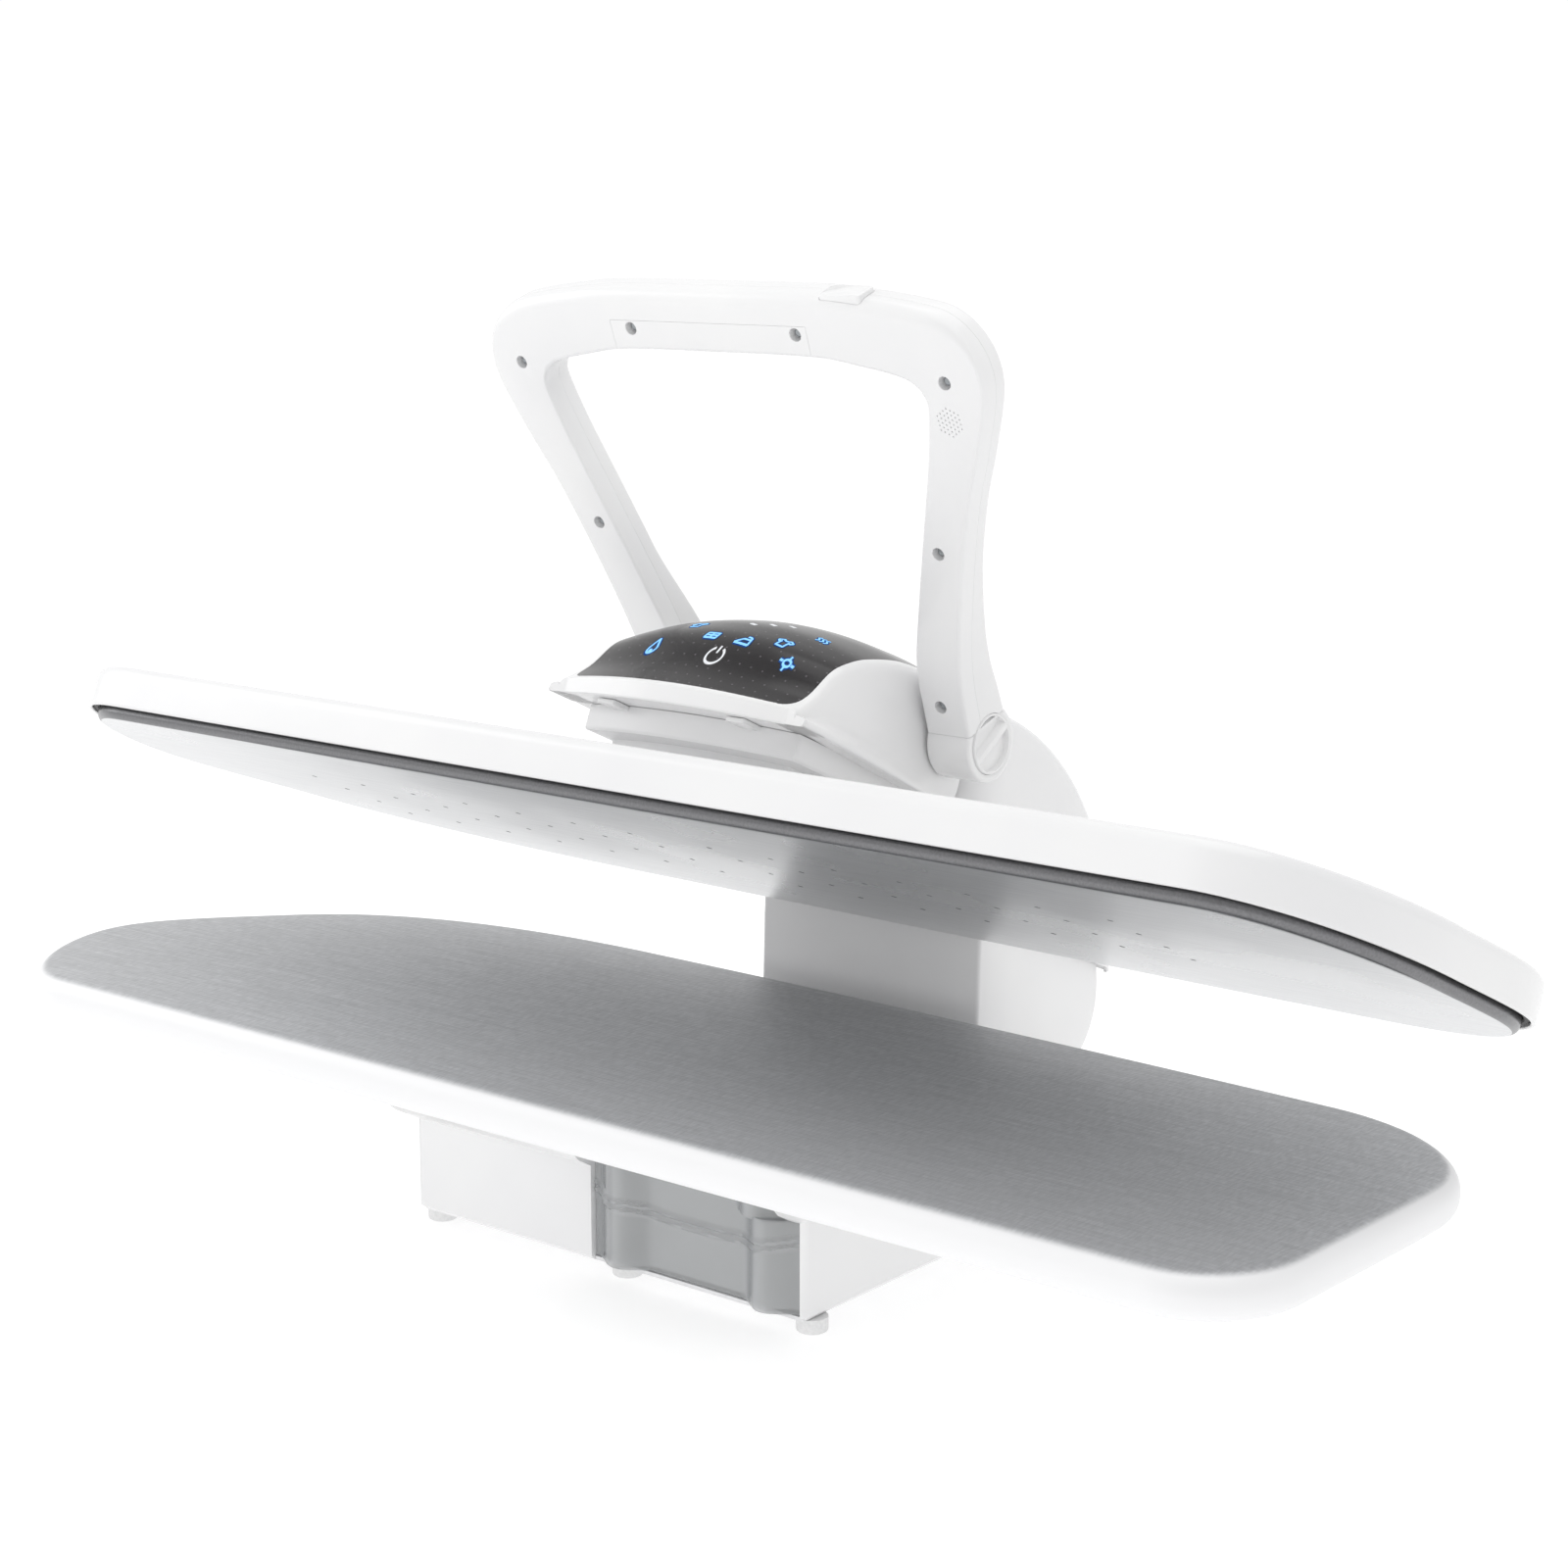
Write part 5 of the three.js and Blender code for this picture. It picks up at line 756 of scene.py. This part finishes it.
# Rear cover: it carries the hood's crown over the column and down behind it.
# Its rows are the hood's cross line swung about an arc; the cheeks drop to the head or beyond it.
arc_u, arc_w, arc_r, cover_half, cover_round = -99.3, -23.3, 197.0, 95.0, 7
cover_rim, cover_foot, rim_ends, foot_starts = 49.0, 66.6, 85, 90
swing = np.concatenate([[90.0], np.linspace(90, 21.5, 44)])
rows = []
for k, degrees in enumerate(swing):
    out_u, out_w = math.cos(math.radians(degrees)), math.sin(math.radians(degrees))
    u0 = hood_seam + 0.3 if k == 0 else arc_u + arc_r * out_u
    w0 = arc_w + arc_r * out_w
    across = np.linspace(0, 1, 15)
    rise = hood_crown * (1 - across ** 2)
    x = [shoulder * across]
    rises = [rise]
    turn = np.radians(np.linspace(0, 90, 7))[1:]
    x.append(shoulder + cover_round * np.sin(turn))
    rises.append(-cover_round * (1 - np.cos(turn)))
    x, rise = np.concatenate(x), np.concatenate(rises)
    u, w = u0 + out_u * rise, w0 + out_w * rise
    floor_w = cover_rim + (cover_foot - cover_rim) * blend_step(-u0, rim_ends, foot_starts)
    fall = np.linspace(0, 1, 13)[1:]
    side_w = w[-1] + (min(floor_w, w[-1] - 0.4) - w[-1]) * fall
    half = np.column_stack([np.concatenate([x, np.full(12, cover_half)]),
                            np.concatenate([u, np.full(12, u[-1])]), np.concatenate([w, side_w])])
    rows.append(np.vstack([half[::-1], half[1:] * [-1, 1, 1]]))
# each cheek turns in at the seam, beside the pedestal, down to the housing
lobe_x, lobe_w = np.meshgrid(np.linspace(cover_half - 0.1, 69, 6), np.linspace(cover_foot + 0.2, 102, 6))
lobe = np.stack([lobe_x, np.full_like(lobe_x, hood_seam + 0.4), lobe_w], -1)
cover_grids = [np.stack(rows), lobe, lobe[:, ::-1] * [-1, 1, 1]]
skin("rear_cover_moulding", [(in_head(grid), False, (False, False)) for grid in cover_grids], "head",
     white_abs, ("rear_cover",), sharp=40,
     modifiers=[("SOLIDIFY", {"thickness": 0.0024, "offset": -1})])

# Handle: a bowed yoke of two screwed shells. Its outer and inner edges are splines of shares of
# its half width and height; a rounded section is carried between them. A groove marks the joint
# of the shells, and fine grooves in the front the snapped-in grip insert.
pivot_u, pivot_w, handle_lean = -173.8, 140.7, 20
in_handle = frame_of(in_head([0, pivot_u, pivot_w]) * 1000, handle_lean)
outer_shares = [[0, 1], [0.41, 0.999], [0.6, 0.99], [0.8, 0.972], [0.89, 0.953], [0.957, 0.913],
                [0.994, 0.858], [0.99, 0.788], [0.918, 0.662], [0.857, 0.57], [0.807, 0.476], [0.749, 0.351],
                [0.704, 0.239], [0.683, 0.163], [0.676, 0.087], [0.674, 0], [0.672, -0.116]]
inner_shares = [[0, 0.873], [0.25, 0.873], [0.43, 0.869], [0.56, 0.856], [0.69, 0.84], [0.752, 0.822],
                [0.78, 0.795], [0.781, 0.764], [0.74, 0.662], [0.662, 0.506], [0.586, 0.352], [0.53, 0.232],
                [0.512, 0.164], [0.509, 0.111], [0.506, 0.044], [0.505, 0], [0.504, -0.116]]
handle_half, handle_tall, front_n, rear_n, split_n = 191.5, 299.0, -20.0, 4.0, -6.0
knuckle_r, seam_s, flare_top, grip_end = 24.5, 14.5, 108.0, 100.0


def edge_points(shares, levels):
    """Points of the yoke's right edge: level with given x over the grip, then at even shares of
    the rest of its length down to the seam over the knuckle."""
    curve = spline(np.array(shares) * [handle_half, handle_tall], 700)
    grip_x = levels[levels <= grip_end]
    turn_at = np.argmax(curve[:, 0] > grip_end)
    grip = np.column_stack([grip_x, np.interp(grip_x, curve[:turn_at + 1, 0], curve[:turn_at + 1, 1])])
    rest = curve[turn_at:]
    rest = rest[:np.argmax(rest[:, 1] < seam_s) + 1]
    along = np.concatenate([[0], np.cumsum(np.hypot(*np.diff(rest, axis=0).T))])
    at = np.linspace(0, along[-1], 90)[1:]
    lower = np.stack([np.interp(at, along, rest[:, k]) for k in (0, 1)], 1)
    lower[-1, 1] = seam_s
    return np.vstack([grip, lower])


insert_right, insert_left = 73.0, 80.0
beside_ends = [end + step for end in (insert_right, insert_left) for step in (-0.3, 0, 0.3)]
levels = np.unique(np.concatenate([np.linspace(0, grip_end, 41), beside_ends]))
outer_edge, inner_edge = edge_points(outer_shares, levels), edge_points(inner_shares, levels)
inner_whole = np.vstack([inner_edge[:0:-1] * [-1, 1], inner_edge])
outer_whole = np.vstack([outer_edge[:0:-1] * [-1, 1], outer_edge])
across_way = outer_whole - inner_whole
section_wide = np.linalg.norm(across_way, axis=1)
across_way /= section_wide[:, None]
flare_line = np.array([[0.9, 0.15], [0.66, 0.33], [0.4, 0.54], [0.14, 0.8]])
knuckle_rear = math.sqrt(knuckle_r ** 2 - seam_s ** 2)
flare_s = np.concatenate([[seam_s], seam_s + (flare_top - seam_s) * flare_line[:, 1], [flare_top, 125]])
flare_n = np.concatenate([[knuckle_rear], rear_n + (knuckle_rear - rear_n) * flare_line[:, 0],
                          [rear_n, rear_n]])
flare_curve = spline(np.column_stack([flare_s, flare_n]), 200)


def corner(centre, radius, start, steps=5):
    """A quarter turn, clockwise from an angle."""
    return arc(radius, start, start - 90, steps, centre)


def yoke_shell(low_of, high_of, round_low, round_high, palm):
    """Sections of one shell: (share across, depth) points clockwise from the inner low corner,
    with their own corner rounds; palm is the larger round on the grip's outer front edge."""
    grid = []
    for k, wide in enumerate(section_wide):
        s = min(inner_whole[k, 1], outer_whole[k, 1])
        low, high = low_of(s), high_of(s)
        r_palm = round_low + palm * blend_step(across_way[k, 1], 0.75, 0.97)
        points = np.vstack([
            corner((round_low, low + round_low), round_low, 270),
            corner((round_high, high - round_high), round_high, 180),
            corner((wide - round_high, high - round_high), round_high, 90),
            corner((wide - r_palm, low + r_palm), r_palm, 0, 8)])
        place = inner_whole[k] + across_way[k] * points[:, :1]
        grid.append(np.column_stack([place[:, 0], points[:, 1], place[:, 1]]))
    return np.stack(grid)


front_grid = yoke_shell(lambda s: front_n, lambda s: split_n - 0.05, 2.6, 0.15, 6.5)
rear_grid = yoke_shell(lambda s: split_n + 0.05,
                       lambda s: float(np.interp(s, flare_curve[:, 0], flare_curve[:, 1])), 0.15, 2.6, 0)
front_shell = skin("handle_front", closed(in_handle, [front_grid]), "handle", white_abs,
                   ("handle_front_shell", "grip_insert"), sharp=50)
rear_shell = skin("handle_rear", closed(in_handle, [rear_grid]), "handle", white_abs,
                  ("handle_rear_shell",), sharp=50)

# Fine grooves round the grip insert, wells for the screws, the steam button and the lock knobs,
# and the sound holes over the beeper are cut in the shells.
screw_shares = np.array([[0.336, 0.919], [0.866, 0.832], [0.707, 0.465], [0.585, 0.113]])
screw_at = screw_shares * [handle_half, handle_tall]
screw_at = np.vstack([screw_at, screw_at * [-1, 1]])
screw_spots = np.column_stack([screw_at[:, 0], np.zeros(8), screw_at[:, 1]])
counterbore = [(5.2, front_n - 1), (4.2, front_n + 0.3), (4.1, front_n + 5.5)]
beeper_x, beeper_s = 0.872 * handle_half - 3, 0.752 * handle_tall
sound_pitch, sound_row, sound_reach, sound_turn = 2.9, 2.5, 9.6, math.radians(35)
step_a, step_b = np.meshgrid(np.arange(-4, 5), np.arange(-4, 5))
sound_a, sound_b = (sound_pitch * (step_a + step_b / 2)).ravel(), (sound_row * step_b).ravel()
inside = np.hypot(sound_a, sound_b) < sound_reach
sound_spots = np.column_stack([
    beeper_x + (sound_a * math.cos(sound_turn) - sound_b * math.sin(sound_turn))[inside],
    np.zeros(inside.sum()),
    beeper_s + (sound_a * math.sin(sound_turn) + sound_b * math.cos(sound_turn))[inside]])
sound_hole = [(0.62, front_n - 1), (0.62, front_n + 0.7)]
well_r, well_x = 19.3, 123.0
knob_well = [(well_r, well_x), (well_r, well_x + 8)]
groove, groove_deep, insert_top_s, insert_low_s = 0.22, 0.5, 280, 240
insert_from, insert_to = -insert_left - groove, insert_right
groove_out, groove_in = front_n - 2, front_n + groove_deep
groove_ends = [block((x, groove_out, insert_low_s), (x + groove, groove_in, insert_top_s - 0.1), 0.1)
               for x in (insert_from, insert_to)]
groove_top = block((insert_from, groove_out, insert_top_s),
                   (insert_to + groove, groove_in, insert_top_s + groove), 0.1)
button_cut = closed(in_handle, [block((84.7, -17.3, 282), (115.3, -0.2, 320), 2.5)])
knob_cut = closed(in_handle, [well * [side, 1, 1] for side in (-1, 1)
                              for well in lathe(knob_well, [(0, 0, 0)], "x", 64)])
cut(front_shell, "front_wells", closed(in_handle, lathe(counterbore, screw_spots, "n", 20)
                                       + lathe(sound_hole, sound_spots, "n", 8)))
cut(front_shell, "insert_ends", closed(in_handle, groove_ends))
cut(front_shell, "insert_top", closed(in_handle, [groove_top]))
for shell, side in ((front_shell, "front"), (rear_shell, "rear")):
    cut(shell, f"{side}_button_well", button_cut)
    cut(shell, f"{side}_knob_wells", knob_cut)

# Screws: zinc-plated pan heads with a dished drive recess, sunk in their wells.
# The plating's spangle gives them a cool grey, mottled shine.
zinc, tree, out, place = finish("zinc_plated_steel")
crystal = add(tree, "ShaderNodeTexVoronoi", {"Vector": place}, {"Scale": 900.0})
zinc_tone = ramp(tree, crystal.outputs["Distance"], [(0.1, "#8f9396"), (0.8, "#a9adb0")])
zinc_shader = add(tree, "ShaderNodeBsdfPrincipled", {"Base Color": zinc_tone.outputs["Color"]},
                  {"Metallic": 1.0, "Roughness": 0.36})
tree.links.new(zinc_shader.outputs["BSDF"], out.inputs["Surface"])
head_profile = [(0.05, front_n + 3.6), (1.0, front_n + 3.55), (2.0, front_n + 3.4), (2.9, front_n + 3.9),
                (3.0, front_n + 5.4)]
screw_heads = lathe(head_profile, screw_spots, "n", 20)
skin("shell_screws", closed(in_handle, screw_heads), "handle", zinc)

# Knuckles: the yoke's round feet under the seam. A round section about the pivot, cut flat at
# the seam, is carried across the leg's width, rounded at its ends and sunk for the lock knob.
polar = np.linspace(0, 2 * math.pi, 193)[:-1]
seam_r = np.where(np.sin(polar) > 0, (seam_s - 0.15) / np.maximum(np.sin(polar), 1e-6), 1e9)
cut_r = np.minimum(knuckle_r, seam_r)


def knuckle_ring(x, r):
    """A ring of the foot's section at x, from its radius at each angle."""
    return np.column_stack([np.full(len(polar), x), r * np.cos(polar), r * np.sin(polar)])


knuckle_in, knuckle_out, well_lip = 96.8, 129.0, 0.5
knuckle_rings = [knuckle_ring(knuckle_in + lift, cut_r - less)
                 for less, lift in ((2.4, 0), (1.2, 0.32), (0.35, 1.1), (0, 2.4))]
knuckle_rings += [knuckle_ring(knuckle_out - lift, cut_r - less)
                  for less, lift in ((0, 2.0), (0.3, 0.9), (1.0, 0.25), (2.0, 0))]
well_rings = ((knuckle_out, well_r + well_lip), (knuckle_out - 0.4, well_r), (well_x, well_r))
knuckle_rings += [knuckle_ring(x, np.minimum(r, cut_r)) for x, r in well_rings]
knuckle_grid = np.stack(knuckle_rings)
for name, side in (("right", 1), ("left", -1)):
    skin(f"knuckle_cap_{name}", closed(in_handle, [knuckle_grid * [side, 1, 1]]), "handle", white_abs,
         (f"knuckle_{name}",), sharp=50)

# Lock knobs: a dished disc with a thin rim and a ridge across it to turn it by.
# The face's height is the floor of the dish, raised to the rim and to the ridge by smooth steps.
knob_r, ridge_turn, dish_x, dish_deep = 19.0, math.radians(14), 126.4, 3.4
radii = np.concatenate([np.linspace(0, 16.6, 22), np.linspace(16.9, 18.7, 9), [knob_r]])
spin = np.linspace(0, 2 * math.pi, 129)[:-1]
rho, phi = np.meshgrid(radii, spin, indexing="ij")
off_ridge = np.abs(rho * np.sin(phi - ridge_turn))
face = dish_x + dish_deep * np.maximum(blend_step(rho, 16.5, 17.6), 1 - blend_step(off_ridge, 1.7, 5.2))
face = face + 0.2 - 0.5 * blend_step(rho, 18.4, knob_r)
knob_grid = np.stack([face, rho * np.cos(phi), rho * np.sin(phi)], -1)
back = np.stack([np.full(spin.shape, well_x + 0.3), knob_r * np.cos(spin), knob_r * np.sin(spin)], -1)[None]
knob_grid = np.concatenate([knob_grid, back])
for name, side in (("right", 1), ("left", -1)):
    skin(f"lock_knob_face_{name}", closed(in_handle, [knob_grid * [side, 1, 1]]), f"knob_{name}", white_abs,
         (f"lock_knob_{name}",), sharp=55)

# Steam button: a long cap with soft corners, standing a little out of its well in the yoke's top.
button_cap = block((85, -17, 285.5), (115, -0.5, 299), 2.2)
skin("steam_button_cap", closed(in_handle, [button_cap]), "steam_key", white_abs,
     ("steam_button",))

# Column: a moulded shell whose top is a drum about the hinge, so that the rear cover rolls over it.
# Two side plates with round edges carry a leaning front wall and a rear wall that turns under
# to a chin; between them the top is open for the arm.
hinge_z, drum_r, column_top, column_wall = 113.0, 86.0, 175.0, 3
chin, column_low, plate_in, plate_round = 56.0, 57.3, 87.5, 2.5
drum_at = (hinge_y, hinge_z)
chin_at = (hinge_y + drum_r - chin, column_low + chin)
front_line = np.array([[251.0, 180.8], [250, column_top], [249.2, 161], [246, column_low]])
side_lines = [arc(drum_r, 0, 127, 60, drum_at), front_line, arc(chin, -90, 0, 24, chin_at)]
side_view = even(np.vstack(side_lines), 320)
side_edge = [(0, plate_in)] + [(plate_round * (1 - math.sin(t)), plate_in + 0.5 + plate_round * math.cos(t))
                               for t in np.radians(np.linspace(90, 0, 6))]
plate = np.stack([np.column_stack([np.full(len(side_view), x), inset(side_view, over)])
                  for over, x in side_edge])


def wall_strip(outer, inner):
    """A wall 175 mm wide between the plates, from its outer and inner lines in side view."""
    loop = np.vstack([outer, inner[::-1]])
    return np.stack([np.column_stack([np.full(len(loop), x), loop]) for x in (-plate_in, plate_in)])


rear_outer, rear_inner = (
    np.vstack([arc(drum_r - less, 56, 0, 26, drum_at), arc(chin - less, 0, -90, 24, chin_at)])
    for less in (0, column_wall))
column_parts = [plate, plate * [-1, 1, 1], wall_strip(front_line[1:], front_line[1:] + [column_wall, 0]),
                wall_strip(rear_outer, rear_inner)]
skin("column_moulding", closed(in_base, column_parts), "base", white_abs, ("column_shell",))

# Base: a moulded box with a shoulder that spreads under the board and a bay for the tank.
# The CAD part's own faces are merged, and every edge gets the moulding's small round.
base_mesh = nodes["base_housing"].data.copy()
base_shape = bmesh.new()
base_shape.from_mesh(base_mesh)
bmesh.ops.remove_doubles(base_shape, verts=base_shape.verts, dist=5e-6)
bmesh.ops.dissolve_limit(base_shape, angle_limit=math.radians(2), verts=base_shape.verts,
                         edges=base_shape.edges)
base_shape.to_mesh(base_mesh)
base_shape.free()
settle("base_moulding", base_mesh, "base", white_abs, ("base_housing",),
       modifiers=[("BEVEL", {"width": 0.0008, "segments": 2, "limit_method": "ANGLE",
                             "angle_limit": math.radians(30), "harden_normals": True})])

# Water tank: clear polycarbonate, moulded 2.4 mm thick. Its front is drawn in between two upright
# swellings, and two wavy ribs cross it; the rings of its wall follow that plan inside and out.
# Seen square on, it lets the dark bay through; seen at a slant, its wall piles up to a smoky grey.
clear, tree, out, place = finish("clear_polycarbonate")
ripple = add(tree, "ShaderNodeTexNoise", {"Vector": place}, {"Scale": 14.0, "Detail": 2.0})
clear_bump = add(tree, "ShaderNodeBump", {"Height": ripple.outputs["Fac"]},
                 {"Strength": 0.25, "Distance": 0.004})
edge_on = add(tree, "ShaderNodeLayerWeight", {}, {"Blend": 0.4})
clear_tone = ramp(tree, edge_on.outputs["Facing"], [(0.15, "#e3e5e6"), (0.55, "#c2c4c6"), (0.85, "#8b8e91")])
thick = add(tree, "ShaderNodeMapRange", {"Value": edge_on.outputs["Facing"]}, {"To Min": 0.3, "To Max": 0.8})
clear_shader = add(tree, "ShaderNodeBsdfPrincipled",
                   {"Base Color": clear_tone.outputs["Color"], "Normal": clear_bump.outputs["Normal"],
                    "Alpha": thick.outputs["Result"]}, {"Roughness": 0.07, "IOR": 1.58})
tree.links.new(clear_shader.outputs["BSDF"], out.inputs["Surface"])
tank_left, tank_right, tank_rear, tank_front = -6.3, 154.0, 123.3, -12.0
tank_low, tank_high, notch_z, tank_wall, notch_deep = 12.2, 93.0, 70.0, 2.4, 7.4
swell_long, swell_by, front_count = 46, 11.0, 97


def tank_ring(z, over, right):
    """The tank's plan at a height, anticlockwise from the front left and inset by a wall: each end
    of its front swells out by one turn of a cosine, and its rear corners are round."""
    x0, x1 = tank_left + over, right - over
    x = np.linspace(x0, x1, front_count)
    near = np.minimum(x - x0, x1 - x)
    swell = np.where(near < swell_long, (1 - np.cos(2 * math.pi * near / swell_long)) / 2, 0)
    front_edge = np.column_stack([x, tank_front + over - swell_by * swell])
    r = max(9.0 - over, 2)
    back = tank_rear - over
    loop = np.vstack([front_edge, arc(r, 0, 90, 8, (x1 - r, back - r)),
                      arc(r, 90, 180, 8, (x0 + r, back - r))])
    return np.column_stack([loop, np.full(len(loop), z)])


tank_rows = []
levels_up = np.concatenate([[tank_low, tank_low + 0.5], np.linspace(tank_low + 2, notch_z - 1.5, 46),
                            [notch_z - 0.7]])
for z in levels_up:
    row = tank_ring(z, 0.9 if z == tank_low else 0.0, tank_right)
    front_x = row[:front_count, 0]
    across = (front_x - (tank_left + tank_right) / 2) / ((tank_right - tank_left) / 2)
    for rib_z in (46.0, 50.5):
        row[:front_count, 1] -= 2.0 * np.exp(-((z - rib_z - 9 * across ** 2) / 1.2) ** 2)
    tank_rows.append(row)
notch_right = tank_right - notch_deep
tank_rows += [tank_ring(z, over, notch_right) for z, over in (
    (notch_z - 0.6, 0), (tank_high - 0.6, 0), (tank_high, 0.6), (tank_high, tank_wall - 0.5),
    (tank_high - 0.5, tank_wall), (notch_z - 3.1, tank_wall))]
tank_rows += [tank_ring(z, tank_wall, tank_right) for z in (notch_z - 3.2, tank_low + tank_wall)]
skin("tank_moulding", closed(in_base, [np.stack(tank_rows)]), "tank", clear, ("water_tank",),
     sharp=45)

# Feet: turned rubber plugs pushed in under the base, pale grey with a chalky matt skin.
# Their rims are rounded off where they meet the table.
grey_rubber = grained("pale_grey_rubber", 500.0, 3.0, [(0.3, "#e2e2e2"), (0.7, "#ededed")],
                      {"Roughness": 0.7}, (0.1, 0.0002))
foot_profile = [(7.6, 0), (8.5, 0.2), (9.2, 0.7), (9.5, 1.6), (9.5, 9.2)]
foot_side, foot_rear = 151.5, 300
for name, x, y in (("front_left", -foot_side, 0), ("front_middle", 8, 0), ("front_right", foot_side, 0),
                   ("rear_left", -foot_side, foot_rear), ("rear_right", foot_side, foot_rear)):
    skin(f"rubber_foot_{name}", closed(in_base, lathe(foot_profile, [(x, y, 0)], "w", 40)), "base",
         grey_rubber, (f"foot_{name}",))

# Parts inside and behind, which stay as the CAD makes them and take their own finishes:
# satin plastic with a frosted sheen, turned brass that has dulled, green board lacquer over
# darker tracks, and bare cast aluminium, pitted and dull.
satin_white = grained("satin_white_plastic", 260.0, 3.0, [(0.3, "#e6e6e7"), (0.7, "#efeff0")],
                      {"Roughness": 0.5})
brass = grained("turned_brass", 120.0, 4.0, [(0.3, "#a5853f"), (0.7, "#c9a95c")],
                {"Metallic": 1.0, "Roughness": 0.33})
lacquer = grained("green_board_lacquer", 350.0, 1.0, [(0.45, "#14502f"), (0.55, "#1f6b41")],
                  {"Roughness": 0.4})
cast_bare = grained("bare_cast_aluminium", 400.0, 4.0, [(0.3, "#a2a4a6"), (0.7, "#b9bbbd")],
                    {"Metallic": 1.0, "Roughness": 0.5})
finishes = {
    satin_white: ["base_bottom_plate", "pump_cradle", "mains_gland", "board_tray", "tank_valve",
                  "thermal_fuse"],
    clear: ["tank_lid"], black_rubber_and_gap_shade: ["valve_dock", "beeper"], grey_rubber: ["tank_cap"],
    zinc: ["hinge_bracket_left", "hinge_bracket_right", "hinge_shaft", "open_stop_bar", "torsion_spring_left",
           "torsion_spring_right", "head_arm", "heating_element", "head_frame", "handle_pin_left",
           "handle_pin_right"],
    brass: ["hinge_bush_left", "hinge_bush_right", "thermostat", "steam_pump"],
    lacquer: ["power_board", "control_board"], cast_bare: ["steam_chamber_cover"],
}
for material, names in finishes.items():
    for name in names:
        nodes[name].data.materials.clear()
        nodes[name].data.materials.append(material)
